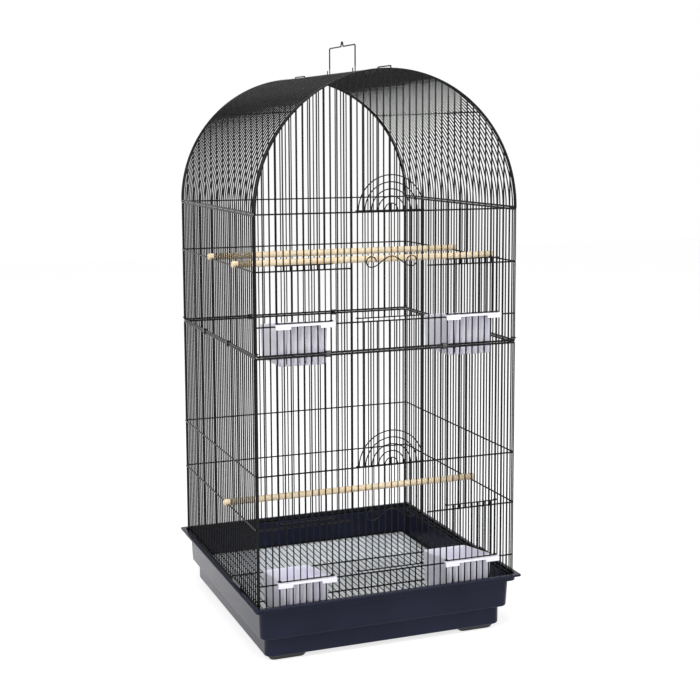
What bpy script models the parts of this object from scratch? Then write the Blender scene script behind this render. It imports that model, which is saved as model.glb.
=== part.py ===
"""Two-section wire bird cage with a barrel roof, on a moulded pan.

Metres, +Z up. The front with its doors and feeders faces -Y, +X is to the right, and Z = 0 is
the surface that the feet stand on.
"""

import math

import bmesh
import bpy
from mathutils import Matrix, Vector

# Plan of the wire cage, between the centres of its corner posts
CAGE_WIDTH = 0.400
CAGE_DEPTH = 0.410
BAR_PITCH = 0.010

# Heights of the horizontal wires above the seat of the pan, on which the cage stands
LOW_FEEDER_RISE = 0.034
LOW_MIDDLE_RISE = 0.115
LOW_TOP_RISE = 0.192
JOINT_RISE = 0.361
HIGH_FEEDER_RISE = 0.403
HIGH_MIDDLE_RISE = 0.480
SPRING_RISE = 0.559

# Wire sections: square frame wire, square rail wire, three-cornered upright bars
FRAME_WIRE = 0.0030
RAIL_WIRE = 0.0022
BAR_CORNER = 0.0011
DOOR_WIRE = 0.0018
DOOR_BAR = 0.00085
EYE_WIRE = 0.0007
EYE_RADIUS = 0.0025
HANDLE_WIRE = 0.0010

# Clearances
SEAT_GAP = 0.0003
DOOR_GAP = 0.0003
CUP_SIDE_GAP = 0.0019
CUP_SETBACK = 0.0027
DOOR_SILL_GAP = 0.0060
LINTEL_OVERLAP = 0.0080

# Openings and doors, counted in bars from the middle of an opening to its guide bars
MAIN_GUIDE = 5
FEEDER_GUIDE = 4
FEEDER_TO_CORNER = 7
DOOR_ARCH_STEPS = (5, 7, 7, 9, 11)
ORNAMENT_DROP = 0.073
ORNAMENT_LOW = 0.031
ORNAMENT_HUMP = 0.015
ORNAMENT_CURL = 0.0075

# Feeder cup
CUP_HEIGHT = 0.062
CUP_DEPTH = 0.088
CUP_WALL = 0.0018
CUP_DRAFT = 0.0020
CUP_FLUTES = 7
FLUTE_DEPTH = 0.0010
CUP_BACK_DROP = 0.0115
LEDGE_THICKNESS = 0.0020
LEDGE_REACH = 0.0070
LEDGE_OVERHANG = 0.0040
LEDGE_LIP = 0.0020
LEDGE_EAR = 0.0220
LEDGE_EAR_DROP = 0.0030

# Moulded pan: reaches are counted outwards from the middle of the cage's corner posts
PAN_HEIGHT = 0.090
PAN_WALL = 0.0025
PAN_FLANGE_REACH = 0.0110
PAN_FLANGE_THICKNESS = 0.0030
PAN_SKIRT_REACH = 0.0060
PAN_SKIRT_DROP = 0.0100
PAN_SEAT_DEPTH = 0.0050
PAN_SEAT_REACH = 0.0042
PAN_TOP_REACH = -0.0020
PAN_DRAFT = 0.0018
PAN_SHOULDER = 0.0375
PAN_TIER_REACH = -0.0130
PAN_CORNER = 0.0110
PAN_FLANGE_CORNER = 0.0040
PAN_ROUNDING = 0.0030
FOOT_HEIGHT = 0.0080
FOOT_LENGTH = 0.0600
FOOT_BEVEL = 0.0040
FOOT_INSET = 0.0030

# Tray and floor grille
TRAY_WALL = 0.0015
TRAY_SIDE_GAP = 0.0008
GRILLE_SIDE_GAP = 0.0010
GRILLE_CROSS_WIRE = 0.0650

# Perches, at the side bars with these numbers, counted in half pitches from the middle
PERCH_RADIUS = 0.0050
PERCH_REACH = 0.0080
PERCH_RISE = 0.0035
PERCH_ROWS = (
    ("upper_front_perch", -11.5, "high"),
    ("upper_rear_perch", 1.5, "high"),
    ("lower_perch", -5.5, "low"),
)

# Carrying handle, hooked under two roof arcs
HANDLE_HOOKS = (-6.5, 4.5)
HANDLE_HEIGHT = 0.042
HANDLE_PEAK = 0.007
HANDLE_LUG = 0.008

# Clips that hold the two sections together, and the roof to the arches
CLIP_WIDTH = 0.006
CLIP_SHEET = 0.0010
FRONT_CLIPS = (-9.5, 8.5)
BACK_CLIPS = (-8.5, 6.5)
SIDE_CLIPS = (-6.0, 7.0)
RIDGE_CLIP_ARCS = 4
RIDGE_CLIP_RISE = 0.0030
RIDGE_CLIP_LEG = 0.0050
RIM_CLIP_LENGTH = 0.040
RIM_CLIP_PLACE = -0.107
RIM_CLIP_RISE = 0.0070

# Faces used for round forms
ARCH_STEPS = 20
ROOF_STEPS = 10
CORNER_STEPS = 2

HALF_WIDTH = CAGE_WIDTH / 2
HALF_DEPTH = CAGE_DEPTH / 2
FEEDER_CENTRE = round(HALF_WIDTH / BAR_PITCH) - FEEDER_TO_CORNER
HALF_FRAME = FRAME_WIRE / 2
HALF_RAIL = RAIL_WIRE / 2
HALF_DOOR_WIRE = DOOR_WIRE / 2
BAR_BACK = BAR_CORNER / 2
RAIL_PLANE = BAR_BACK + SEAT_GAP + HALF_RAIL
FRONT = -HALF_DEPTH
DOOR_PLANE = FRONT - HALF_FRAME - DOOR_GAP - HALF_DOOR_WIRE
PAN_SEAT = PAN_HEIGHT - PAN_SEAT_DEPTH
FEEDER_RAIL_LOW = PAN_SEAT + LOW_FEEDER_RISE
MIDDLE_RAIL_LOW = PAN_SEAT + LOW_MIDDLE_RISE
TOP_RAIL_LOW = PAN_SEAT + LOW_TOP_RISE
SECTION_JOINT = PAN_SEAT + JOINT_RISE
FEEDER_RAIL_HIGH = PAN_SEAT + HIGH_FEEDER_RISE
MIDDLE_RAIL_HIGH = PAN_SEAT + HIGH_MIDDLE_RISE
ARCH_SPRING = PAN_SEAT + SPRING_RISE
CAGE_FOOT = PAN_SEAT + SEAT_GAP + HALF_FRAME
JOINT_RAIL_LOW = SECTION_JOINT - SEAT_GAP / 2 - HALF_FRAME
JOINT_RAIL_HIGH = SECTION_JOINT + SEAT_GAP / 2 + HALF_FRAME
SIDE_TOP_RAIL = ARCH_SPRING - SEAT_GAP / 2 - HALF_FRAME
ROOF_FOOT_RAIL = ARCH_SPRING + SEAT_GAP / 2 + HALF_FRAME
SIDE_POST = HALF_DEPTH - RAIL_PLANE - 2 * HALF_RAIL - SEAT_GAP
SILL_HALF = HALF_RAIL + 0.0001
LEDGE_TOP = SILL_HALF + SEAT_GAP + LEDGE_THICKNESS
PAN_STEP = PAN_SHOULDER + PAN_WALL
PAN_STEP_REACH = PAN_TOP_REACH - PAN_DRAFT - PAN_WALL
PAN_WELL_REACH = PAN_TIER_REACH - PAN_WALL
TRAY_RIM = PAN_STEP + SEAT_GAP + TRAY_WALL
TRAY_RIM_REACH = PAN_STEP_REACH - TRAY_SIDE_GAP


# Scene and materials

def clear_scene():
    for item in list(bpy.data.objects):
        bpy.data.objects.remove(item, do_unlink=True)


def make_material(name, colour, roughness, metallic=0.0):
    material = bpy.data.materials.new(name)
    material.use_nodes = True
    shader = material.node_tree.nodes["Principled BSDF"]
    shader.inputs["Base Color"].default_value = (*colour, 1.0)
    shader.inputs["Roughness"].default_value = roughness
    shader.inputs["Metallic"].default_value = metallic
    material.diffuse_color = (*colour, 1.0)
    return material


def add_object(name, mesh, material=None):
    item = bpy.data.objects.new(name, mesh)
    parts.objects.link(item)
    if material is not None:
        mesh.materials.clear()
        mesh.materials.append(material)
    return item


def object_from_bmesh(name, bm, material=None):
    bmesh.ops.recalc_face_normals(bm, faces=bm.faces)
    mesh = bpy.data.meshes.new(name)
    bm.to_mesh(mesh)
    bm.free()
    return add_object(name, mesh, material)


# Modelling helpers

def add_box(bm, low, high):
    low = Vector(low)
    high = Vector(high)
    size = high - low
    placed = Matrix.Translation((low + high) / 2) @ Matrix.Diagonal((*size, 1.0))
    bmesh.ops.create_cube(bm, size=1.0, matrix=placed)


def add_wire(bm, path, radius, normal, turn=0, sides=3):
    """A wire with closed ends through points of one plane.

    The first edge of its section points along the normal of that plane, or is turned from there
    by this many degrees towards the side of the path.
    """
    normal = Vector(normal)
    points = [Vector(point) for point in path]
    steps = [(after - before).normalized() for before, after in zip(points, points[1:])]
    rings = []
    for place, point in enumerate(points):
        incoming = steps[max(place - 1, 0)]
        outgoing = steps[min(place, len(steps) - 1)]
        mean = (incoming + outgoing).normalized()
        side = normal.cross(mean) / mean.dot(outgoing)
        ring = []
        for corner in range(sides):
            angle = math.radians(turn) + 2 * math.pi * corner / sides
            offset = normal * math.cos(angle) + side * math.sin(angle)
            ring.append(bm.verts.new(point + radius * offset))
        rings.append(ring)
    bm.faces.new(rings[0])
    bm.faces.new(rings[-1])
    for before, after in zip(rings, rings[1:]):
        for corner in range(sides):
            over = (corner + 1) % sides
            bm.faces.new((before[corner], before[over], after[over], after[corner]))


def evaluated_mesh(item):
    depsgraph = bpy.context.evaluated_depsgraph_get()
    mesh = bpy.data.meshes.new_from_object(item.evaluated_get(depsgraph))
    bm = bmesh.new()
    bm.from_mesh(mesh)
    bmesh.ops.remove_doubles(bm, verts=bm.verts, dist=0.00001)
    bm.to_mesh(mesh)
    bm.free()
    return mesh


def combine(item, tool, operation="UNION"):
    """Joins the tool to the item, or cuts it out, and removes the tool."""
    modifier = item.modifiers.new("combine", "BOOLEAN")
    modifier.operation = operation
    modifier.solver = "EXACT"
    modifier.object = tool
    modifier.use_self = True
    item.data = evaluated_mesh(item)
    item.modifiers.clear()
    bpy.data.objects.remove(tool, do_unlink=True)


def curve_object(name, dimensions="3D"):
    curve = bpy.data.curves.new(name, "CURVE")
    curve.dimensions = dimensions
    return curve


def add_spline(curve, points, cyclic=False):
    spline = curve.splines.new("POLY")
    spline.points.add(len(points) - 1)
    for slot, point in zip(spline.points, points):
        slot.co = (*point, 1.0)
    spline.use_cyclic_u = cyclic


def curve_to_object(name, curve, material=None, placed=None):
    helper = bpy.data.objects.new(name + "_curve", curve)
    parts.objects.link(helper)
    bm = bmesh.new()
    bm.from_mesh(evaluated_mesh(helper))
    if placed is not None:
        bm.transform(placed)
    bpy.data.objects.remove(helper, do_unlink=True)
    return object_from_bmesh(name, bm, material)


def wire_object(name, path, radius, normal, material=None, sides=6):
    bm = bmesh.new()
    add_wire(bm, path, radius, normal, sides=sides)
    return object_from_bmesh(name, bm, material)


def plate_object(name, outlines, thickness, material=None, placed=None):
    """A flat plate from closed outlines, the second and later ones being holes in it."""
    curve = curve_object(name, "2D")
    curve.fill_mode = "BOTH"
    curve.extrude = thickness / 2
    for points in outlines:
        add_spline(curve, [(x, y, 0.0) for x, y in points], cyclic=True)
    return curve_to_object(name, curve, material, placed)


def arc_points(centre, radius, start, end, steps):
    points = []
    for step in range(steps + 1):
        angle = math.radians(start + (end - start) * step / steps)
        points.append((centre[0] + radius * math.cos(angle), centre[1] + radius * math.sin(angle)))
    return points


def rounded_rectangle(half_x, half_y, radius, steps):
    points = []
    for corner, (side_x, side_y) in enumerate(((1, 1), (-1, 1), (-1, -1), (1, -1))):
        centre = (side_x * (half_x - radius), side_y * (half_y - radius))
        points += arc_points(centre, radius, 90 * corner, 90 * corner + 90, steps)
    return points


def centred_rows(half_span, first):
    """Bar places one pitch apart, laid out from the middle and clear of the posts at the ends."""
    places = []
    place = first * BAR_PITCH
    while place < half_span - FRAME_WIRE - BAR_CORNER:
        places.append(place)
        place += BAR_PITCH
    mirrored = [-place for place in reversed(places) if place > 0]
    return mirrored + places


UPRIGHT = Matrix.Rotation(math.radians(90), 4, "X")


# Wire panels

def arch_height(x):
    """Height of the middle of the polygonal arch wire above x."""
    angle = math.acos(max(-1.0, min(1.0, x / HALF_WIDTH)))
    step = math.pi / ARCH_STEPS
    first = math.floor(angle / step) * step
    start = Vector((math.cos(first), math.sin(first))) * HALF_WIDTH
    end = Vector((math.cos(first + step), math.sin(first + step))) * HALF_WIDTH
    share = (x - start.x) / (end.x - start.x)
    return ARCH_SPRING + start.y + share * (end.y - start.y)


def frame_outlines(low, high):
    """Outer and inner outline of a frame; high is None for the arched top."""
    outlines = []
    for edge in (HALF_FRAME, -HALF_FRAME):
        side = HALF_WIDTH + edge
        outline = [(-side, low - edge), (side, low - edge)]
        if high is None:
            outline += arc_points((0.0, ARCH_SPRING), side, 0, 180, ARCH_STEPS)
        else:
            outline += [(side, high + edge), (-side, high + edge)]
        outlines.append(outline)
    return outlines


def add_rail(bm, plane, inward, height, start, end):
    """A thin rail along X behind the bars, inward being +1 where that is +Y."""
    middle = plane + inward * RAIL_PLANE
    add_box(
        bm,
        (start, middle - HALF_RAIL, height - HALF_RAIL),
        (end, middle + HALF_RAIL, height + HALF_RAIL),
    )


def add_sill(bm, plane, height, start, end):
    """A deep stretch of rail, from behind the bars to just in front of them, where short bars end."""
    deep = RAIL_PLANE + SILL_HALF
    proud = 1.1 * BAR_CORNER
    add_box(
        bm,
        (start, plane - proud, height - SILL_HALF),
        (end, plane + deep, height + SILL_HALF),
    )


def front_openings(low, sill, middle, top):
    """Bars, rails and sills of a front panel round one main door and two feeder openings."""
    guide = MAIN_GUIDE * BAR_PITCH
    feeder_guide = FEEDER_GUIDE * BAR_PITCH
    centre = FEEDER_CENTRE * BAR_PITCH
    clear = BAR_CORNER + SEAT_GAP
    post = HALF_WIDTH
    bm = bmesh.new()
    for x in centred_rows(HALF_WIDTH, 0):
        ceiling = arch_height(x) if top is None else top
        in_door = abs(x) < guide - clear
        in_feeder = abs(abs(x) - centre) < feeder_guide - clear
        apex = (0, -1, 0)
        if not in_door and not in_feeder:
            add_wire(bm, ((x, FRONT, low), (x, FRONT, ceiling)), BAR_CORNER, apex)
            continue
        add_wire(bm, ((x, FRONT, low), (x, FRONT, sill)), BAR_CORNER, apex)
        opening_top = middle[0] if in_feeder else middle[1]
        add_wire(bm, ((x, FRONT, opening_top), (x, FRONT, ceiling)), BAR_CORNER, apex)
    door_edge = guide - clear
    feeder_edges = (centre - feeder_guide + clear, centre + feeder_guide - clear)
    add_sill(bm, FRONT, sill, -door_edge, door_edge)
    add_sill(bm, FRONT, middle[1], -door_edge, door_edge)
    rail_end = guide + BAR_PITCH
    for side in (-1, 1):
        for height in (sill, middle[0]):
            ends = sorted((side * feeder_edges[0], side * feeder_edges[1]))
            add_sill(bm, FRONT, height, ends[0], ends[1])
        stub = sorted((side * (rail_end - clear), side * (rail_end + clear)))
        add_sill(bm, FRONT, middle[0], stub[0], stub[1])
        stretches = (
            (sill, door_edge - clear, feeder_edges[0] + clear),
            (sill, feeder_edges[1] - clear, post),
            (middle[0], rail_end, feeder_edges[0] + clear),
            (middle[0], feeder_edges[1] - clear, post),
            (middle[1], door_edge - clear, post),
        )
        for height, start, end in stretches:
            ends = sorted((side * start, side * end))
            add_rail(bm, FRONT, 1, height, ends[0], ends[1])
    return bm


def front_panel(name, low, sill, middle, top, material):
    outlines = frame_outlines(low, top)
    placed = Matrix.Translation((0, FRONT, 0)) @ UPRIGHT
    panel = plate_object(name, outlines, FRAME_WIRE, material, placed)
    wires = object_from_bmesh(name + "_wires", front_openings(low, sill, middle, top))
    combine(panel, wires)
    return panel


def back_panel(name, low, rails, top, material):
    plane = HALF_DEPTH
    placed = Matrix.Translation((0, plane, 0)) @ UPRIGHT
    panel = plate_object(name, frame_outlines(low, top), FRAME_WIRE, material, placed)
    bm = bmesh.new()
    for x in centred_rows(HALF_WIDTH, 0):
        ceiling = arch_height(x) if top is None else top
        add_wire(bm, ((x, plane, low), (x, plane, ceiling)), BAR_CORNER, (0, 1, 0))
    for height in rails:
        add_rail(bm, plane, -1, height, -HALF_WIDTH, HALF_WIDTH)
    wires = object_from_bmesh(name + "_wires", bm)
    combine(panel, wires)
    return panel


def side_panel(name, side, low, rails, top, material):
    """A panel of a side wall; its thin rails lie outside the bars."""
    plane = side * HALF_WIDTH
    outlines = []
    for grow in (1, -1):
        edge = SIDE_POST + grow * HALF_RAIL
        foot_edge = low - grow * HALF_FRAME
        head_edge = top + grow * HALF_FRAME
        outlines.append([(-edge, foot_edge), (edge, foot_edge), (edge, head_edge), (-edge, head_edge)])
    placed = Matrix.Translation((plane, 0, 0)) @ Matrix.Rotation(math.radians(90), 4, "Z") @ UPRIGHT
    panel = plate_object(name, outlines, FRAME_WIRE, material, placed)
    bm = bmesh.new()
    for y in centred_rows(SIDE_POST, 0.5):
        add_wire(bm, ((plane, y, low), (plane, y, top)), BAR_CORNER, (-side, 0, 0))
    middle = plane + side * RAIL_PLANE
    for height in rails:
        add_box(
            bm,
            (middle - HALF_RAIL, -SIDE_POST, height - HALF_RAIL),
            (middle + HALF_RAIL, SIDE_POST, height + HALF_RAIL),
        )
    wires = object_from_bmesh(name + "_wires", bm)
    combine(panel, wires)
    return panel


def roof_panel(name, material):
    """A barrel of arcs between two end arches, on two foot rails, with a thin rail on each flank."""
    springing = (0.0, ARCH_SPRING)
    rise = math.degrees(math.asin((ROOF_FOOT_RAIL - ARCH_SPRING) / HALF_WIDTH))
    outer = arc_points(springing, HALF_WIDTH + HALF_FRAME, rise, 180 - rise, 2 * ROOF_STEPS)
    inner = arc_points(springing, HALF_WIDTH - FRAME_WIRE, 180 - rise, rise, 2 * ROOF_STEPS)
    end_arches = []
    for end in (-1, 1):
        placed = Matrix.Translation((0, end * SIDE_POST, 0)) @ UPRIGHT
        arch = plate_object(name + "_arch", [outer + inner], RAIL_WIRE, None, placed)
        end_arches.append(arch)
    roof = end_arches[0]
    roof.name = name
    roof.data.materials.append(material)
    combine(roof, end_arches[1])

    bm = bmesh.new()
    reach = HALF_FRAME + 0.0001
    for side in (-1, 1):
        add_box(
            bm,
            (side * HALF_WIDTH - reach, -SIDE_POST, ROOF_FOOT_RAIL - HALF_FRAME),
            (side * HALF_WIDTH + reach, SIDE_POST, ROOF_FOOT_RAIL + HALF_FRAME),
        )
    combine(roof, object_from_bmesh(name + "_foot", bm))

    bm = bmesh.new()
    path = arc_points(springing, HALF_WIDTH, rise, 180 - rise, ROOF_STEPS)
    for y in centred_rows(SIDE_POST, 0.5):
        add_wire(bm, [(x, y, z) for x, z in path], BAR_CORNER, (0, 1, 0), turn=90)
    flank = HALF_WIDTH * math.cos(math.radians(90) / ROOF_STEPS) - RAIL_PLANE
    stub = 0.8 * RAIL_WIRE
    for turn in (-45, 45):
        swung = Matrix.Translation((0, 0, ARCH_SPRING)) @ Matrix.Rotation(math.radians(turn), 4, "Y")
        rail_size = Matrix.Diagonal((RAIL_WIRE, 2 * SIDE_POST, RAIL_WIRE, 1.0))
        placed = swung @ Matrix.Translation((0, 0, flank)) @ rail_size
        bmesh.ops.create_cube(bm, size=1.0, matrix=placed)
        stub_size = Matrix.Diagonal((stub, stub, HALF_WIDTH - flank, 1.0))
        for end in (-1, 1):
            middle = (0, end * (SIDE_POST - HALF_RAIL / 4), (HALF_WIDTH + flank) / 2)
            bmesh.ops.create_cube(bm, size=1.0, matrix=swung @ Matrix.Translation(middle) @ stub_size)
    combine(roof, object_from_bmesh(name + "_arcs", bm))
    return roof


# Doors

def add_eye(bm, x, z):
    """A ring on the end of a door wire, which runs on the guide bar through it."""
    ring = bpy.data.meshes.new("eye")
    sides = 6
    tube = 3
    verts = []
    for step in range(sides):
        angle = 2 * math.pi * step / sides
        out = Vector((math.cos(angle), math.sin(angle), 0))
        for corner in range(tube):
            lean = 2 * math.pi * corner / tube + math.pi
            reach = EYE_RADIUS + EYE_WIRE * math.cos(lean)
            lift = EYE_WIRE * math.sin(lean)
            verts.append(out * reach + Vector((x, FRONT, z + lift)))
    faces = []
    for step in range(sides):
        for corner in range(tube):
            here = step * tube + corner
            over = step * tube + (corner + 1) % tube
            there = ((step + 1) % sides) * tube + corner
            beyond = ((step + 1) % sides) * tube + (corner + 1) % tube
            faces.append((here, there, beyond, over))
    ring.from_pydata(verts, [], faces)
    bm.from_mesh(ring)
    bpy.data.meshes.remove(ring)


def door_cross_wires(centre, guide, heights):
    bm = bmesh.new()
    reach = guide + EYE_WIRE
    for z in heights:
        add_box(
            bm,
            (centre - reach, DOOR_PLANE - HALF_DOOR_WIRE, z - HALF_DOOR_WIRE),
            (centre + reach, DOOR_PLANE + HALF_DOOR_WIRE, z + HALF_DOOR_WIRE),
        )
    return bm


def add_eyes(name, door, centre, guide, heights):
    bm = bmesh.new()
    for z in heights:
        for side in (-1, 1):
            add_eye(bm, centre + side * guide, z)
    combine(door, object_from_bmesh(name + "_eyes", bm))


def ornament_path(low):
    """Half of the wave wire: from the hump in the middle, through its dip, round the curl."""
    hump = []
    steps = 4
    for step in range(steps):
        share = (step + 0.5) / steps
        rise = ORNAMENT_HUMP * (1 + math.cos(math.pi * share)) / 2
        hump.append((ORNAMENT_LOW * share, low + rise))
    curl_centre = (ORNAMENT_LOW, low + ORNAMENT_CURL)
    return hump + arc_points(curl_centre, ORNAMENT_CURL, -90, 180, 6)


def main_door(name, sill, lintel, material):
    """A guillotine door of nested arched wires, with a wave wire across its middle."""
    guide = MAIN_GUIDE * BAR_PITCH
    top = lintel + HALF_RAIL + DOOR_GAP + EYE_WIRE
    bottom = sill + DOOR_SILL_GAP
    door = object_from_bmesh(name, door_cross_wires(0.0, guide, (bottom, top)), material)

    outward = (0, -1, 0)
    bm = bmesh.new()
    for row in range(1, MAIN_GUIDE + 1):
        radius = row * BAR_PITCH
        arch = arc_points((0.0, top), radius, 0, 180, DOOR_ARCH_STEPS[row - 1])
        if row < MAIN_GUIDE:
            arch = [(radius, bottom)] + arch + [(-radius, bottom)]
        add_wire(bm, [(x, DOOR_PLANE, z) for x, z in arch], DOOR_BAR, outward)
    crown = top + BAR_PITCH * math.cos(math.radians(90) / DOOR_ARCH_STEPS[0])
    add_wire(bm, ((0.0, DOOR_PLANE, bottom), (0.0, DOOR_PLANE, crown)), 0.95 * DOOR_BAR, outward)
    combine(door, object_from_bmesh(name + "_bars", bm))

    right = ornament_path(top - ORNAMENT_DROP - ORNAMENT_HUMP)
    left = [(-x, z) for x, z in reversed(right)]
    plane = DOOR_PLANE - DOOR_BAR
    wave = [(x, plane, z) for x, z in left + right]
    combine(door, wire_object(name + "_wave", wave, DOOR_BAR, outward, sides=3))
    add_eyes(name, door, 0.0, guide, (bottom, top))
    return door


def feeder_door(name, centre, sill, lintel, material):
    guide = FEEDER_GUIDE * BAR_PITCH
    bottom = sill + LEDGE_TOP + SEAT_GAP + HALF_DOOR_WIRE
    top = lintel + LINTEL_OVERLAP
    door = object_from_bmesh(name, door_cross_wires(centre, guide, (bottom, top)), material)
    bm = bmesh.new()
    for bar in range(1 - FEEDER_GUIDE, FEEDER_GUIDE):
        x = centre + bar * BAR_PITCH
        add_wire(bm, ((x, DOOR_PLANE, bottom), (x, DOOR_PLANE, top)), DOOR_BAR, (0, -1, 0))
    combine(door, object_from_bmesh(name + "_bars", bm))
    add_eyes(name, door, centre, guide, (bottom, top))
    return door


# Feeder cups

def cup_outline(half_width, front, back, radius):
    """Plan of the cup: round corners at the back, upright flutes across the front."""
    outline = arc_points((half_width - radius, back - radius), radius, 0, 90, 2)
    outline += arc_points((radius - half_width, back - radius), radius, 90, 180, 2)
    flute = 2 * half_width / CUP_FLUTES
    for number in range(CUP_FLUTES):
        start = -half_width + number * flute
        outline.append((start, front + FLUTE_DEPTH))
        outline.append((start + flute / 4, front))
        outline.append((start + flute * 3 / 4, front))
    outline.append((half_width, front + FLUTE_DEPTH))
    return outline


def add_tapered_block(bm, low_outline, low, high_outline, high):
    """A block whose plan changes from one outline to another with as many points."""
    lower = [bm.verts.new((x, y, low)) for x, y in low_outline]
    upper = [bm.verts.new((x, y, high)) for x, y in high_outline]
    bm.faces.new(lower)
    bm.faces.new(upper)
    for place in range(len(lower)):
        after = (place + 1) % len(lower)
        bm.faces.new((lower[place], lower[after], upper[after], upper[place]))


def feeder_cup(name, centre, sill, material):
    guide = FEEDER_GUIDE * BAR_PITCH
    half_width = guide - BAR_CORNER - CUP_SIDE_GAP
    front = FRONT + RAIL_PLANE + SILL_HALF + CUP_SETBACK
    back = front + CUP_DEPTH
    top = sill + LEDGE_TOP
    bottom = top - CUP_HEIGHT
    bm = bmesh.new()
    wide = cup_outline(half_width, front, back, 0.006)
    narrow = cup_outline(half_width - CUP_DRAFT, front + CUP_DRAFT, back - CUP_DRAFT, 0.005)
    add_tapered_block(bm, narrow, bottom, wide, top)
    cup = object_from_bmesh(name, bm, material)

    bm = bmesh.new()
    neck_low = top - LEDGE_THICKNESS
    lip_front = FRONT - BAR_CORNER - LEDGE_REACH
    ledge_back = FRONT - BAR_CORNER - SEAT_GAP
    ledge_half = guide + LEDGE_OVERHANG
    neck_half = half_width - CUP_DRAFT
    add_box(bm, (-neck_half, lip_front, neck_low), (neck_half, front + CUP_WALL, top))
    add_box(bm, (-ledge_half, lip_front, neck_low), (ledge_half, ledge_back, top))
    lip_low = neck_low - LEDGE_LIP
    add_box(bm, (-ledge_half, lip_front, lip_low), (ledge_half, lip_front + LEDGE_LIP, top))
    for side in (-1, 1):
        ends = sorted((side * ledge_half, side * (ledge_half - LEDGE_EAR)))
        ear_low = lip_low - LEDGE_EAR_DROP
        add_box(bm, (ends[0], lip_front, ear_low), (ends[1], lip_front + LEDGE_LIP, top))
    combine(cup, object_from_bmesh(name + "_ledge", bm))

    bm = bmesh.new()
    inner_half = half_width - CUP_WALL
    inner_front = front + FLUTE_DEPTH + CUP_WALL
    inner_back = back - CUP_WALL
    middle = (inner_front + inner_back) / 2
    half_length = (inner_back - inner_front) / 2
    rim = [(x, y + middle) for x, y in rounded_rectangle(inner_half, half_length, 0.0045, 2)]
    taper = CUP_DRAFT
    floor = [
        (x, y + middle)
        for x, y in rounded_rectangle(inner_half - taper, half_length - taper, 0.0045, 2)
    ]
    add_tapered_block(bm, floor, bottom + CUP_WALL, rim, top + CUP_WALL)
    combine(cup, object_from_bmesh(name + "_hollow", bm), "DIFFERENCE")

    bm = bmesh.new()
    add_box(
        bm,
        (-inner_half, inner_back - CUP_WALL, top - CUP_BACK_DROP),
        (inner_half, back + CUP_WALL, top + CUP_WALL),
    )
    combine(cup, object_from_bmesh(name + "_back_cut", bm), "DIFFERENCE")
    cup.location.x = centre
    return cup


# Pan, tray, grille and feet

def moulded_object(name, levels, material):
    """A closed body through level outlines, each a reach, a height and a corner radius."""
    bm = bmesh.new()
    previous = None
    for reach, height, radius in levels:
        outline = rounded_rectangle(HALF_WIDTH + reach, HALF_DEPTH + reach, radius, CORNER_STEPS)
        ring = [bm.verts.new((x, y, height)) for x, y in outline]
        if previous is None:
            bm.faces.new(ring)
        else:
            for place in range(len(ring)):
                after = (place + 1) % len(ring)
                bm.faces.new((previous[place], previous[after], ring[after], ring[place]))
        previous = ring
    bm.faces.new(previous)
    return object_from_bmesh(name, bm, material)


def base_pan(name, material):
    outer = PAN_CORNER
    inner = PAN_CORNER - PAN_WALL
    soft = PAN_ROUNDING
    skirt_low = PAN_HEIGHT - PAN_SKIRT_DROP
    flange_low = PAN_HEIGHT - PAN_FLANGE_THICKNESS
    low_reach = PAN_TOP_REACH - PAN_DRAFT
    floor = FOOT_HEIGHT + PAN_WALL
    levels = (
        (PAN_TIER_REACH - soft, FOOT_HEIGHT, outer - soft),
        (PAN_TIER_REACH, FOOT_HEIGHT + soft, outer),
        (PAN_TIER_REACH, PAN_SHOULDER, outer),
        (low_reach - soft, PAN_SHOULDER, outer),
        (low_reach, PAN_SHOULDER + soft, outer),
        (PAN_TOP_REACH, skirt_low, outer),
        (PAN_SKIRT_REACH, skirt_low, outer),
        (PAN_SKIRT_REACH, flange_low, outer),
        (PAN_FLANGE_REACH, flange_low, PAN_FLANGE_CORNER),
        (PAN_FLANGE_REACH, PAN_HEIGHT, PAN_FLANGE_CORNER),
        (PAN_SEAT_REACH, PAN_HEIGHT, inner),
        (PAN_SEAT_REACH, PAN_SEAT, inner),
        (PAN_TOP_REACH - PAN_WALL, PAN_SEAT, inner),
        (PAN_STEP_REACH, PAN_STEP, inner),
        (PAN_WELL_REACH, PAN_STEP, inner),
        (PAN_WELL_REACH, floor + soft, inner),
        (PAN_WELL_REACH - soft, floor, inner - soft),
    )
    return moulded_object(name, levels, material)


def waste_tray(name, material):
    basin = PAN_WELL_REACH - TRAY_SIDE_GAP
    floor = FOOT_HEIGHT + PAN_WALL + TRAY_SIDE_GAP
    rim_low = TRAY_RIM - TRAY_WALL
    outer = PAN_CORNER - PAN_WALL
    inner = outer - TRAY_WALL
    soft = PAN_ROUNDING
    levels = (
        (basin - soft, floor, outer - soft),
        (basin, floor + soft, outer),
        (basin, rim_low, outer),
        (TRAY_RIM_REACH, rim_low, outer),
        (TRAY_RIM_REACH, TRAY_RIM, outer),
        (basin - TRAY_WALL, TRAY_RIM, inner),
        (basin - TRAY_WALL, floor + TRAY_WALL + soft, inner),
        (basin - TRAY_WALL - soft, floor + TRAY_WALL, inner - soft),
    )
    return moulded_object(name, levels, material)


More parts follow.
